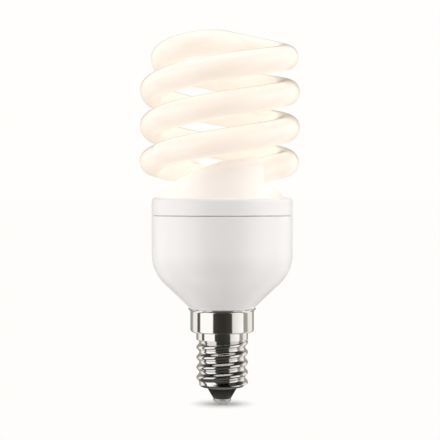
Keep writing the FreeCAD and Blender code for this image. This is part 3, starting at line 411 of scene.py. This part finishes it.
CAN_LENGTH = 12.0
CAN_ACROSS = -1.6
STRIPE_START = math.radians(155)
board_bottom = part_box("circuit_board")[0].z / MILLIMETRE
can_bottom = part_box("smoothing_capacitor")[0].z / MILLIMETRE
sleeve = empty_material("shrunk_black_sleeve")
tree = sleeve.node_tree
place = add_node(tree, "ShaderNodeTexCoord")
centred = add_node(tree, "ShaderNodeMapping", inputs={"Location": (-CAN_ACROSS * MILLIMETRE, 0, 0)},
                   links={"Vector": place.outputs["Object"]})
parts = add_node(tree, "ShaderNodeSeparateXYZ", links={"Vector": centred.outputs["Vector"]})
turn = add_node(tree, "ShaderNodeMath", {"operation": "ARCTAN2"},
                links={0: parts.outputs["Y"], 1: parts.outputs["X"]})
stripe = add_node(tree, "ShaderNodeMath", {"operation": "GREATER_THAN"}, inputs={1: STRIPE_START},
                  links={0: turn.outputs["Value"]})
tone = add_node(tree, "ShaderNodeMix", {"data_type": "RGBA"}, links={"Factor": stripe.outputs["Value"]})
tone.inputs["A"].default_value = linear("#1C1D22")
tone.inputs["B"].default_value = linear("#B9BBC0")
creases = add_node(tree, "ShaderNodeTexNoise",
                   inputs={"Scale": 1 / (1.5 * MILLIMETRE), "Detail": 2.0},
                   links={"Vector": place.outputs["Object"]})
relief = add_node(tree, "ShaderNodeBump", inputs={"Strength": 0.2, "Distance": 0.05 * MILLIMETRE},
                  links={"Height": creases.outputs["Fac"]})
film = add_node(tree, "ShaderNodeBsdfPrincipled", inputs={"Roughness": 0.3},
                links={"Base Color": tone.outputs["Result"], "Normal": relief.outputs["Normal"]})
body_and_leads(tree, place, film, "Z", can_bottom + CAN_LENGTH / 2, CAN_LENGTH / 2)
dress(["smoothing_capacitor"], sleeve)

# Choke and drive ring cores
# Both cores are pressed from ferrite powder and fired, then ground where they meet.
# They are dark grey and dull, with a sandy grain that is drawn coarser than the real one to show at all.
ferrite = empty_material("fired_ferrite")
tree = ferrite.node_tree
place = add_node(tree, "ShaderNodeTexCoord")
sand = add_node(tree, "ShaderNodeTexNoise",
                inputs={"Scale": 1 / (0.25 * MILLIMETRE), "Detail": 5.0},
                links={"Vector": place.outputs["Object"]})
tone = add_node(tree, "ShaderNodeMix", {"data_type": "RGBA"}, links={"Factor": sand.outputs["Fac"]})
tone.inputs["A"].default_value = linear("#2B2A2A")
tone.inputs["B"].default_value = linear("#454342")
relief = add_node(tree, "ShaderNodeBump", inputs={"Strength": 0.3, "Distance": 0.05 * MILLIMETRE},
                  links={"Height": sand.outputs["Fac"]})
surface = add_node(tree, "ShaderNodeBsdfPrincipled", inputs={"Roughness": 0.62},
                   links={"Base Color": tone.outputs["Result"], "Normal": relief.outputs["Normal"]})
add_node(tree, "ShaderNodeOutputMaterial", links={"Surface": surface.outputs["BSDF"]})
dress(["choke_core", "drive_ring_core"], ferrite)

# Choke bobbin
# A reel moulded from glass filled nylon, with four pins that stand in the board.
# The filler shows as faint pale flecks in the dull black.
reel = empty_material("filled_nylon_reel")
tree = reel.node_tree
place = add_node(tree, "ShaderNodeTexCoord")
flecks = add_node(tree, "ShaderNodeTexNoise",
                  inputs={"Scale": 1 / (0.5 * MILLIMETRE), "Detail": 4.0},
                  links={"Vector": place.outputs["Object"]})
tone = add_node(tree, "ShaderNodeMix", {"data_type": "RGBA"}, links={"Factor": flecks.outputs["Fac"]})
tone.inputs["A"].default_value = linear("#1B1A19")
tone.inputs["B"].default_value = linear("#34322F")
surface = add_node(tree, "ShaderNodeBsdfPrincipled", inputs={"Roughness": 0.5},
                   links={"Base Color": tone.outputs["Result"]})
add_node(tree, "ShaderNodeOutputMaterial", links={"Surface": surface.outputs["BSDF"]})
dress(["choke_bobbin"], reel)


# Windings
# Fine copper wire in clear enamel, wound tightly on the choke's reel and more loosely on the ring.
# Each turn is a rounded ridge, so the windings are ribbed across their length.
def wound_wire(name, direction, wire_pitch):
    """Enamelled copper whose turns follow each other along this axis."""
    material = empty_material(name)
    tree = material.node_tree
    place = add_node(tree, "ShaderNodeTexCoord")
    parts = add_node(tree, "ShaderNodeSeparateXYZ", links={"Vector": place.outputs["Object"]})
    phase = add_node(tree, "ShaderNodeMath", {"operation": "MULTIPLY"},
                     inputs={1: math.pi / (wire_pitch * MILLIMETRE)},
                     links={0: parts.outputs[direction]})
    wave = add_node(tree, "ShaderNodeMath", {"operation": "SINE"}, links={0: phase.outputs["Value"]})
    ridge = add_node(tree, "ShaderNodeMath", {"operation": "ABSOLUTE"}, links={0: wave.outputs["Value"]})
    relief = add_node(tree, "ShaderNodeBump", inputs={"Strength": 0.8, "Distance": 0.12 * MILLIMETRE},
                      links={"Height": ridge.outputs["Value"]})
    # The copper is painted darker into the grooves between the turns: painted shade
    tone = add_node(tree, "ShaderNodeMix", {"data_type": "RGBA"}, links={"Factor": ridge.outputs["Value"]})
    tone.inputs["A"].default_value = linear("#5A2A12")
    tone.inputs["B"].default_value = linear("#C06B36")
    metal = add_node(tree, "ShaderNodeBsdfPrincipled",
                     inputs={"Metallic": 0.8, "Roughness": 0.3, "Coat Weight": 0.6, "Coat Roughness": 0.1},
                     links={"Base Color": tone.outputs["Result"], "Normal": relief.outputs["Normal"]})
    add_node(tree, "ShaderNodeOutputMaterial", links={"Surface": metal.outputs["BSDF"]})
    return material


CHOKE_WIRE = 0.3
RING_WIRE = 0.45
dress(["choke_winding"], wound_wire("choke_enamelled_copper", "Z", CHOKE_WIRE))
dress(["drive_ring_windings"], wound_wire("ring_enamelled_copper", "X", RING_WIRE))

# Power transistors
# Two small cases moulded from black epoxy, each with a flat side and three leads in a row.
# The epoxy is matt, with the mould's spark finish, drawn several times coarser than it is so that it shows.
# The parts hang under the board by their leads, this far down
CASE_DROP = 1.5
epoxy = empty_material("spark_finished_black_epoxy")
tree = epoxy.node_tree
place = add_node(tree, "ShaderNodeTexCoord")
spark = add_node(tree, "ShaderNodeTexNoise",
                 inputs={"Scale": 1 / (0.2 * MILLIMETRE), "Detail": 3.0},
                 links={"Vector": place.outputs["Object"]})
tone = add_node(tree, "ShaderNodeMix", {"data_type": "RGBA"}, links={"Factor": spark.outputs["Fac"]})
tone.inputs["A"].default_value = linear("#191919")
tone.inputs["B"].default_value = linear("#262626")
relief = add_node(tree, "ShaderNodeBump", inputs={"Strength": 0.25, "Distance": 0.03 * MILLIMETRE},
                  links={"Height": spark.outputs["Fac"]})
case = add_node(tree, "ShaderNodeBsdfPrincipled", inputs={"Roughness": 0.55},
                links={"Base Color": tone.outputs["Result"], "Normal": relief.outputs["Normal"]})
# The length counts from the bulb's origin here, so only what reaches above the case's top is lead
body_and_leads(tree, place, case, "Z", 0, board_bottom - CASE_DROP)
dress(["transistor_1", "transistor_2"], epoxy)

# Film capacitors
# Wound film dipped in flame proof lacquer, which sets as a thick glossy skin of a dull red.
# The lacquer is a little uneven where it ran.
LEAD_DROP = 0.5
lacquer = empty_material("dipped_red_lacquer")
tree = lacquer.node_tree
place = add_node(tree, "ShaderNodeTexCoord")
runs = add_node(tree, "ShaderNodeTexNoise",
                inputs={"Scale": 1 / (2.5 * MILLIMETRE), "Detail": 2.0},
                links={"Vector": place.outputs["Object"]})
tone = add_node(tree, "ShaderNodeMix", {"data_type": "RGBA"}, links={"Factor": runs.outputs["Fac"]})
tone.inputs["A"].default_value = linear("#7E2A1C")
tone.inputs["B"].default_value = linear("#9A3A26")
relief = add_node(tree, "ShaderNodeBump", inputs={"Strength": 0.3, "Distance": 0.2 * MILLIMETRE},
                  links={"Height": runs.outputs["Fac"]})
skin = add_node(tree, "ShaderNodeBsdfPrincipled", inputs={"Roughness": 0.22},
                links={"Base Color": tone.outputs["Result"], "Normal": relief.outputs["Normal"]})
body_and_leads(tree, place, skin, "Z", 0, board_bottom - LEAD_DROP)
dress(["resonant_capacitor", "coupling_capacitor"], lacquer)

# Filter choke
# A drum of ferrite wound with wire under a shrunk dark green sleeve.
# The sleeve clings to the turns, so it shows them faintly.
DRUM_WIRE = 0.5
drum_sleeve = empty_material("shrunk_green_sleeve")
tree = drum_sleeve.node_tree
place = add_node(tree, "ShaderNodeTexCoord")
parts = add_node(tree, "ShaderNodeSeparateXYZ", links={"Vector": place.outputs["Object"]})
phase = add_node(tree, "ShaderNodeMath", {"operation": "MULTIPLY"},
                 inputs={1: 2 * math.pi / (DRUM_WIRE * MILLIMETRE)}, links={0: parts.outputs["Z"]})
turns = add_node(tree, "ShaderNodeMath", {"operation": "SINE"}, links={0: phase.outputs["Value"]})
relief = add_node(tree, "ShaderNodeBump", inputs={"Strength": 0.3, "Distance": 0.05 * MILLIMETRE},
                  links={"Height": turns.outputs["Value"]})
haze = add_node(tree, "ShaderNodeTexNoise", inputs={"Scale": 1 / (1.5 * MILLIMETRE)},
                links={"Vector": place.outputs["Object"]})
tone = add_node(tree, "ShaderNodeMix", {"data_type": "RGBA"}, links={"Factor": haze.outputs["Fac"]})
tone.inputs["A"].default_value = linear("#22332A")
tone.inputs["B"].default_value = linear("#2E4437")
film = add_node(tree, "ShaderNodeBsdfPrincipled", inputs={"Roughness": 0.35},
                links={"Base Color": tone.outputs["Result"], "Normal": relief.outputs["Normal"]})
body_and_leads(tree, place, film, "Z", 0, board_bottom - LEAD_DROP)
dress(["filter_choke"], drum_sleeve)


# Rectifier and trigger diodes
# Four black moulded diodes lie side by side across the board, each with a pale band at its cathode.
# The trigger diode beside them is a bead of blue painted glass.
def banded(tree, place, axis, ground, bands):
    """A ground colour with painted rings along this axis: each has a place, a width and a colour."""
    parts = add_node(tree, "ShaderNodeSeparateXYZ", links={"Vector": place.outputs["Object"]})
    noise = add_node(tree, "ShaderNodeTexNoise", inputs={"Scale": 1 / (0.8 * MILLIMETRE)},
                     links={"Vector": place.outputs["Object"]})
    tone = add_node(tree, "ShaderNodeMix", {"data_type": "RGBA"}, links={"Factor": noise.outputs["Fac"]})
    tone.inputs["A"].default_value = linear(ground[0])
    tone.inputs["B"].default_value = linear(ground[1])
    for middle, width, colour in bands:
        away = add_node(tree, "ShaderNodeMath", {"operation": "SUBTRACT"},
                        inputs={1: middle * MILLIMETRE}, links={0: parts.outputs[axis]})
        apart = add_node(tree, "ShaderNodeMath", {"operation": "ABSOLUTE"},
                         links={0: away.outputs["Value"]})
        inside = add_node(tree, "ShaderNodeMath", {"operation": "LESS_THAN"},
                          inputs={1: width / 2 * MILLIMETRE}, links={0: apart.outputs["Value"]})
        tone = add_node(tree, "ShaderNodeMix", {"data_type": "RGBA"},
                        links={"Factor": inside.outputs["Value"], "A": tone.outputs["Result"]})
        tone.inputs["B"].default_value = linear(colour)
    return tone.outputs["Result"]


def axial_material(name, axis, centre, length, ground, bands, roughness):
    """The material of a round part on two leads, with its painted rings."""
    material = empty_material(name)
    tree = material.node_tree
    place = add_node(tree, "ShaderNodeTexCoord")
    colour = banded(tree, place, axis, ground, [(centre + spot, width, tint) for spot, width, tint in bands])
    body = add_node(tree, "ShaderNodeBsdfPrincipled", inputs={"Roughness": roughness},
                    links={"Base Color": colour})
    body_and_leads(tree, place, body, axis, centre, length / 2)
    return material


DIODE_LENGTH = 5.2
DIODE_BANDS = [(1.7, 0.8, "#C9C9C6")]
TRIGGER_LENGTH = 3.8
TRIGGER_ACROSS = -2.0
TRIGGER_BANDS = [(0.0, 0.5, "#20262E")]
dress([f"rectifier_diode_{number}" for number in range(1, 5)],
      axial_material("banded_black_epoxy", "Y", 0, DIODE_LENGTH, ("#1B1B1B", "#272727"),
                     DIODE_BANDS, 0.45))
dress(["trigger_diode"],
      axial_material("painted_blue_bead", "X", TRIGGER_ACROSS, TRIGGER_LENGTH, ("#2F5E8C", "#3C6E9C"),
                     TRIGGER_BANDS, 0.15))

# Resistors
# Ceramic rods with a carbon film, dipped in a pale lacquer and ringed with the colours of their value.
# Two lie across the board and two along it. A fusible one stands in the neck and takes the mains.
RESISTOR_LENGTH = 6.3
RING_WIDTH = 0.55
RESISTOR_RINGS = [(-2.0, RING_WIDTH, "#6B3A1E"), (-0.9, RING_WIDTH, "#1E1E1E"),
                  (0.2, RING_WIDTH, "#C7502A"), (2.0, RING_WIDTH, "#B8923A")]
PALE_LACQUER = ("#CDB68C", "#D8C39B")
across_rod = axial_material("ringed_lacquer_across", "X", 0, RESISTOR_LENGTH, PALE_LACQUER,
                            RESISTOR_RINGS, 0.35)
along_rod = axial_material("ringed_lacquer_along", "Y", 0, RESISTOR_LENGTH, PALE_LACQUER,
                           RESISTOR_RINGS, 0.35)
FUSE_LENGTH = 6.4
FUSE_MIDDLE = 25.8
fuse_rod = axial_material("ringed_flameproof_lacquer", "Z", FUSE_MIDDLE, FUSE_LENGTH, ("#8FA39A", "#9DB1A8"),
                          RESISTOR_RINGS, 0.4)
dress(["resistor_1", "resistor_2"], along_rod)
dress(["resistor_3", "resistor_4"], across_rod)
dress(["fusible_resistor"], fuse_rod)

# Tube cement
# A white mineral cement fills the room round each end of the tube, under the lid's plate.
# It was poured by hand and has a chalky, pitted skin.
cement = empty_material("poured_lamp_cement")
tree = cement.node_tree
place = add_node(tree, "ShaderNodeTexCoord")
pits = add_node(tree, "ShaderNodeTexNoise",
                inputs={"Scale": 1 / (0.9 * MILLIMETRE), "Detail": 6.0, "Roughness": 0.65},
                links={"Vector": place.outputs["Object"]})
tone = add_node(tree, "ShaderNodeMix", {"data_type": "RGBA"}, links={"Factor": pits.outputs["Fac"]})
tone.inputs["A"].default_value = linear("#C9C3B6")
tone.inputs["B"].default_value = linear("#E6E1D6")
relief = add_node(tree, "ShaderNodeBump", inputs={"Strength": 0.7, "Distance": 0.2 * MILLIMETRE},
                  links={"Height": pits.outputs["Fac"]})
surface = add_node(tree, "ShaderNodeBsdfPrincipled", inputs={"Roughness": 0.9},
                   links={"Base Color": tone.outputs["Result"], "Normal": relief.outputs["Normal"]})
add_node(tree, "ShaderNodeOutputMaterial", links={"Surface": surface.outputs["BSDF"]})
dress(["front_tube_cement", "rear_tube_cement"], cement)

# Lower casing and lid
# Both are moulded from glossy white PBT and snap together at the seam.
# The mould's polish leaves a clean skin. A warm glow is painted on the ramps and the lid's top, stronger
# where they face up: painted light for the lit tube's light on them.
FLOW_WIDTH = 12
LID_TOP = (54.95, 55.35)
PAINTED_GLOW_UPWARDS = 0.3
PAINTED_GLOW_SIDEWAYS = 0.24
CORNER_SHADE_REACH = 5.0
moulded = empty_material("moulded_white_pbt")
tree = moulded.node_tree
place = add_node(tree, "ShaderNodeTexCoord")
flow = add_node(tree, "ShaderNodeTexNoise",
                inputs={"Scale": 1 / (FLOW_WIDTH * MILLIMETRE), "Detail": 2.0},
                links={"Vector": place.outputs["Object"]})
skin = add_node(tree, "ShaderNodeTexNoise",
                inputs={"Scale": 1 / (0.6 * MILLIMETRE), "Detail": 2.0},
                links={"Vector": place.outputs["Object"]})
tone = add_node(tree, "ShaderNodeMix", {"data_type": "RGBA"},
                links={"Factor": flow.outputs["Fac"]})
tone.inputs["A"].default_value = linear("#F3F0EE")
tone.inputs["B"].default_value = linear("#F6F3F1")
gloss = add_node(tree, "ShaderNodeMapRange", inputs={"To Min": 0.26, "To Max": 0.34},
                 links={"Value": skin.outputs["Fac"]})
relief = add_node(tree, "ShaderNodeBump", inputs={"Strength": 0.02, "Distance": 0.02 * MILLIMETRE},
                  links={"Height": skin.outputs["Fac"]})
parts = add_node(tree, "ShaderNodeSeparateXYZ", links={"Vector": place.outputs["Object"]})
slant = add_node(tree, "ShaderNodeNewGeometry")
facing = add_node(tree, "ShaderNodeSeparateXYZ", links={"Vector": slant.outputs["Normal"]})
painted_glow_by_facing = add_node(tree, "ShaderNodeMapRange",
                    inputs={"From Min": 0.1, "From Max": 0.7,
                            "To Min": PAINTED_GLOW_SIDEWAYS, "To Max": PAINTED_GLOW_UPWARDS},
                    links={"Value": facing.outputs["Z"]})
# Corners between the ramps and the plate get less of the painted glow, which is painted shade there
corner_shade = add_node(tree, "ShaderNodeAmbientOcclusion", {"samples": 8},
                   inputs={"Distance": CORNER_SHADE_REACH * MILLIMETRE})
clear = add_node(tree, "ShaderNodeMath", {"operation": "MULTIPLY"},
                 links={0: painted_glow_by_facing.outputs["Result"], 1: corner_shade.outputs["AO"]})
# Painted light: the warm glow is laid only on the lid's top and what stands above it
painted_glow = add_node(tree, "ShaderNodeMapRange",
                 inputs={"From Min": LID_TOP[0] * MILLIMETRE, "From Max": LID_TOP[1] * MILLIMETRE,
                         "To Min": 0.0},
                 links={"Value": parts.outputs["Z"], "To Max": clear.outputs["Value"]})
plastic = add_node(tree, "ShaderNodeBsdfPrincipled",
                   inputs={"IOR": 1.5, "Emission Color": linear("#FFDCB8")},
                   links={"Base Color": tone.outputs["Result"], "Roughness": gloss.outputs["Result"],
                          "Normal": relief.outputs["Normal"], "Emission Strength": painted_glow.outputs["Result"]})
add_node(tree, "ShaderNodeOutputMaterial", links={"Surface": plastic.outputs["BSDF"]})
dress(["lower_casing", "casing_lid"], moulded)

# Glass spiral
# A soda glass tube, bent hot over a former, with a white powder coating inside that glows when lit.
# The clear wall over the coating gives a wet gloss. A thin grey line along the tube's edges, strongest on the
# upper ones, is a painted reflection.
UNDERSIDE_SHADED_GLOW = 0.8
GLOW_ABOVE = 0.9
LINE_REACH = (0.7, 0.97)
LINE_STRENGTH = 0.75
LINE_BELOW = 0.25
coated_glass = empty_material("coated_lamp_glass")
tree = coated_glass.node_tree
place = add_node(tree, "ShaderNodeTexCoord")
# The powder is drawn darker than it is, because the glow comes on top of what the lamps light
powder = add_node(tree, "ShaderNodeTexNoise",
                  inputs={"Scale": 1 / (5 * MILLIMETRE), "Detail": 3.0},
                  links={"Vector": place.outputs["Object"]})
coat = add_node(tree, "ShaderNodeMix", {"data_type": "RGBA"},
                links={"Factor": powder.outputs["Fac"]})
coat.inputs["A"].default_value = linear("#73858F")
coat.inputs["B"].default_value = linear("#7B8B94")
edge = add_node(tree, "ShaderNodeLayerWeight", inputs={"Blend": 0.5})
painted_edge_line = add_node(tree, "ShaderNodeMapRange",
                     inputs={"From Min": LINE_REACH[0], "From Max": LINE_REACH[1],
                             "To Min": 0.0, "To Max": LINE_STRENGTH},
                     links={"Value": edge.outputs["Facing"]})
slant = add_node(tree, "ShaderNodeNewGeometry")
parts = add_node(tree, "ShaderNodeSeparateXYZ", links={"Vector": slant.outputs["Normal"]})
# The painted reflection along the edges is strongest where the surface faces up
upper = add_node(tree, "ShaderNodeMapRange",
                 inputs={"From Min": -0.2, "From Max": 0.5, "To Min": LINE_BELOW, "To Max": 1.0},
                 links={"Value": parts.outputs["Z"]})
painted_edge_mask = add_node(tree, "ShaderNodeMath", {"operation": "MULTIPLY"},
                links={0: painted_edge_line.outputs["Result"], 1: upper.outputs["Result"]})
# The undersides glow a little less, as painted shade
glow = add_node(tree, "ShaderNodeMapRange",
                inputs={"From Min": -0.8, "From Max": 0.1, "To Min": UNDERSIDE_SHADED_GLOW, "To Max": GLOW_ABOVE},
                links={"Value": parts.outputs["Z"]})
surface = add_node(tree, "ShaderNodeBsdfPrincipled",
                   inputs={"Roughness": 0.3, "IOR": 1.52, "Emission Color": linear("#F8E1CB")},
                   links={"Base Color": coat.outputs["Result"], "Emission Strength": glow.outputs["Result"]})
# Painted reflection: a dark grey diffuse takes over along the edges
painted_edge_grey = add_node(tree, "ShaderNodeBsdfDiffuse", inputs={"Color": linear("#8A8784")})
both = add_node(tree, "ShaderNodeMixShader",
                links={"Fac": painted_edge_mask.outputs["Value"], 1: surface.outputs["BSDF"],
                       2: painted_edge_grey.outputs["BSDF"]})
add_node(tree, "ShaderNodeOutputMaterial", links={"Surface": both.outputs["Shader"]})
dress(["glass_spiral"], coated_glass)

# Room
# The background is plain white. What the metal mirrors is the ring of soft boxes round the table,
# with the dark of the room between them: each stop is a bearing from the front, right-hand positive.
MIRROR_STOPS = [
    (-180, 0.25), (-133, 0.34), (-126, 0.80), (-101, 0.90), (-99, 0.10), (-86, 0.10), (-83, 1.00),
    (-34, 1.00), (-31, 0.05), (-10, 0.03), (10, 0.03), (34, 0.05), (38, 0.72), (80, 1.00),
    (83, 0.33), (102, 0.36), (105, 0.80), (134, 0.85), (140, 0.36), (180, 0.25),
]
RING_STRENGTH = 1.28
ROOM_FILL = 0.57
BOX_END = (0.36, 0.6)
CEILING = 0.06
BOX_GREEN = 0.985
BOX_BLUE = 0.975
DARK_GREEN_LOSS = 0.04
DARK_BLUE_LOSS = 0.18


def mirrored_ring(tree, direction):
    """The brightness that lies in this direction from the table's middle, as a colour."""
    parts = add_node(tree, "ShaderNodeSeparateXYZ", links={"Vector": direction})
    to_front = add_node(tree, "ShaderNodeMath", {"operation": "MULTIPLY"}, inputs={1: -1.0},
                        links={0: parts.outputs["Y"]})
    bearing = add_node(tree, "ShaderNodeMath", {"operation": "ARCTAN2"},
                       links={0: parts.outputs["X"], 1: to_front.outputs["Value"]})
    share = add_node(tree, "ShaderNodeMapRange", inputs={"From Min": -math.pi, "From Max": math.pi},
                     links={"Value": bearing.outputs["Value"]})
    ring = add_node(tree, "ShaderNodeValToRGB", links={"Fac": share.outputs["Result"]})
    stops = ring.color_ramp.elements
    for number, (degrees, brightness) in enumerate(MIRROR_STOPS):
        position = (degrees + 180) / 360
        if number < 2:
            stop = stops[number]
            stop.position = position
        else:
            stop = stops.new(position)
        green = BOX_GREEN - DARK_GREEN_LOSS * (1 - brightness)
        blue = BOX_BLUE - DARK_BLUE_LOSS * (1 - brightness)
        stop.color = (brightness, brightness * green, brightness * blue, 1.0)
    strong = add_node(tree, "ShaderNodeVectorMath", {"operation": "SCALE"},
                      inputs={"Scale": RING_STRENGTH}, links={0: ring.outputs["Color"]})
    return strong.outputs["Vector"]


world = bpy.data.worlds.new("studio_room")
bpy.context.scene.world = world
world.use_nodes = True
tree = world.node_tree
tree.nodes.clear()
direction = add_node(tree, "ShaderNodeTexCoord")
ring = mirrored_ring(tree, direction.outputs["Generated"])
# The soft boxes fade out between these two heights of a direction, and the ceiling over them is dark
parts = add_node(tree, "ShaderNodeSeparateXYZ", links={"Vector": direction.outputs["Generated"]})
box_end = add_node(tree, "ShaderNodeMapRange",
                   inputs={"From Min": BOX_END[0], "From Max": BOX_END[1],
                           "To Min": 1.0, "To Max": CEILING},
                   links={"Value": parts.outputs["Z"]})
ring_end = add_node(tree, "ShaderNodeVectorMath", {"operation": "SCALE"},
                    links={0: ring, "Scale": box_end.outputs["Result"]})
ray = add_node(tree, "ShaderNodeLightPath")
mirrored = add_node(tree, "ShaderNodeMix", {"data_type": "RGBA"},
                    links={"Factor": ray.outputs["Is Glossy Ray"], "B": ring_end.outputs["Vector"]})
mirrored.inputs["A"].default_value = (ROOM_FILL, ROOM_FILL, ROOM_FILL, 1.0)
straight = add_node(tree, "ShaderNodeMath", {"operation": "MAXIMUM"},
                    links={0: ray.outputs["Is Camera Ray"], 1: ray.outputs["Is Transmission Ray"]})
seen = add_node(tree, "ShaderNodeMix", {"data_type": "RGBA"},
                links={"Factor": straight.outputs["Value"], "A": mirrored.outputs["Result"]})
seen.inputs["B"].default_value = linear("#FFFEFC")
back = add_node(tree, "ShaderNodeBackground", inputs={"Strength": 1.0},
                links={"Color": seen.outputs["Result"]})
add_node(tree, "ShaderNodeOutputWorld", links={"Surface": back.outputs["Background"]})

# Floor
# A wide pale sheet that the bulb stands on, plain and matt, which keeps the bulb's soft shadow.
# Away from the bulb it is lifted to the background's white, and the metal mirrors the ring in it. Near the
# bulb the metal sees a painted reflection: dark, and a paler grey right under the tip.
FLOOR_HALF_SIDE = 20.0
SHADOW_REACH = (0.0018, 0.0092)
FLOOR_BOUNCE = 0.59
NEAR_FLOOR = (0.012, 0.022)
NEAR_FLOOR_PAINTED_REFLECTION = 0.09
TIP_FLOOR = (0.0028, 0.006)
TIP_FLOOR_PAINTED_REFLECTION = 0.6
bpy.ops.mesh.primitive_plane_add(size=2 * FLOOR_HALF_SIDE, location=(0, 0, 0))
floor = bpy.context.object
floor.name = "studio_floor"
paper_sheet = empty_material("pale_paper_floor")
tree = paper_sheet.node_tree
place = add_node(tree, "ShaderNodeTexCoord")
ray = add_node(tree, "ShaderNodeLightPath")
distance = add_node(tree, "ShaderNodeVectorMath", {"operation": "LENGTH"},
                    links={0: place.outputs["Object"]})
lift = add_node(tree, "ShaderNodeMapRange",
                inputs={"From Min": SHADOW_REACH[0], "From Max": SHADOW_REACH[1]},
                links={"Value": distance.outputs["Value"]})
seen_lift = add_node(tree, "ShaderNodeMath", {"operation": "MULTIPLY"},
                     links={0: lift.outputs["Result"], 1: ray.outputs["Is Camera Ray"]})
# Only the camera sees the lifted white. The lamps' light meets plain paper.
glow = add_node(tree, "ShaderNodeEmission", inputs={"Color": linear("#FEFDFB")})
bounce = add_node(tree, "ShaderNodeMix", {"data_type": "RGBA"},
                  links={"Factor": ray.outputs["Is Diffuse Ray"]})
bounce.inputs["A"].default_value = linear("#F4F3F1")
bounce.inputs["B"].default_value = (FLOOR_BOUNCE, FLOOR_BOUNCE, FLOOR_BOUNCE, 1.0)
paper = add_node(tree, "ShaderNodeBsdfDiffuse", links={"Color": bounce.outputs["Result"]})
lit = add_node(tree, "ShaderNodeMixShader",
               links={"Fac": seen_lift.outputs["Value"], 1: paper.outputs["BSDF"],
                      2: glow.outputs["Emission"]})
# Painted reflection: near the bulb the metal sees a dark floor, and a paler grey right under the tip, not the
# lit paper
away = add_node(tree, "ShaderNodeMapRange",
                inputs={"From Min": NEAR_FLOOR[0], "From Max": NEAR_FLOOR[1]},
                links={"Value": distance.outputs["Value"]})
by_tip = add_node(tree, "ShaderNodeMapRange",
                  inputs={"From Min": TIP_FLOOR[0], "From Max": TIP_FLOOR[1],
                          "To Min": TIP_FLOOR_PAINTED_REFLECTION, "To Max": NEAR_FLOOR_PAINTED_REFLECTION},
                  links={"Value": distance.outputs["Value"]})
mirrored = add_node(tree, "ShaderNodeMix", {"data_type": "RGBA"},
                    links={"Factor": away.outputs["Result"], "A": by_tip.outputs["Result"],
                           "B": mirrored_ring(tree, place.outputs["Object"])})
in_metal = add_node(tree, "ShaderNodeEmission", inputs={"Strength": 1.0},
                    links={"Color": mirrored.outputs["Result"]})
shown = add_node(tree, "ShaderNodeMixShader",
                 links={"Fac": ray.outputs["Is Glossy Ray"], 1: lit.outputs["Shader"],
                        2: in_metal.outputs["Emission"]})
add_node(tree, "ShaderNodeOutputMaterial", links={"Surface": shown.outputs["Shader"]})
floor.data.materials.append(paper_sheet)


# Lamps
# Two tall soft boxes stand at the sides, a touch in front of the bulb, and a third hangs overhead.
# None of them shows in the metal.
def hang_lamp(name, shape, sizes, power, colour, place, target):
    """An area lamp at this place, aimed at this target, that reflections don't show."""
    light = bpy.data.lights.new(name, "AREA")
    light.shape = shape
    light.size = sizes[0]
    if shape == "RECTANGLE":
        light.size_y = sizes[1]
    light.energy = power
    light.color = linear(colour)[:3]
    lamp = bpy.data.objects.new(name, light)
    bpy.context.collection.objects.link(lamp)
    lamp.location = place
    aim = Vector(target) - Vector(place)
    lamp.rotation_euler = aim.to_track_quat("-Z", "Y").to_euler()
    lamp.visible_glossy = False
    lamp.visible_camera = False


BULB_MIDDLE = (0, 0, 0.05)
SIDE_BEARING = math.radians(86.0)
SIDE_DISTANCE = 0.6
SIDE_HEIGHT = 0.12
SIDE_BOX = (0.35, 0.6)
SIDE_POWER = 2.1
TOP_BOX = (0.5,)
TOP_PLACE = (0, -0.05, 0.65)
TOP_POWER = 3.0
ahead = -SIDE_DISTANCE * math.cos(SIDE_BEARING)
for side in (-1, 1):
    across = side * SIDE_DISTANCE * math.sin(SIDE_BEARING)
    hang_lamp("side_soft_box", "RECTANGLE", SIDE_BOX, SIDE_POWER, "#FFFFFF", (across, ahead, SIDE_HEIGHT),
              BULB_MIDDLE)
hang_lamp("top_soft_box", "DISK", TOP_BOX, TOP_POWER, "#FFFFFF", TOP_PLACE, BULB_MIDDLE)

# Camera
# A long lens straight in front of the cap's axis, level with the lid's top and aimed slightly down.
CAMERA_DISTANCE = 0.347
CAMERA_HEIGHT = 0.0557
CAMERA_ACROSS = -0.00057
CAMERA_DOWN = 1.063
CAMERA_LENS = 106.3
lens = bpy.data.cameras.new("photo_camera")
lens.sensor_width = 36.0
lens.lens = CAMERA_LENS
lens.clip_start = 0.01
lens.clip_end = 100.0
camera = bpy.data.objects.new("photo_camera", lens)
bpy.context.collection.objects.link(camera)
camera.location = (CAMERA_ACROSS, -CAMERA_DISTANCE, CAMERA_HEIGHT)
camera.rotation_euler = (math.radians(90 - CAMERA_DOWN), 0, 0)
bpy.context.scene.camera = camera
bpy.context.scene.view_settings.view_transform = "Standard"
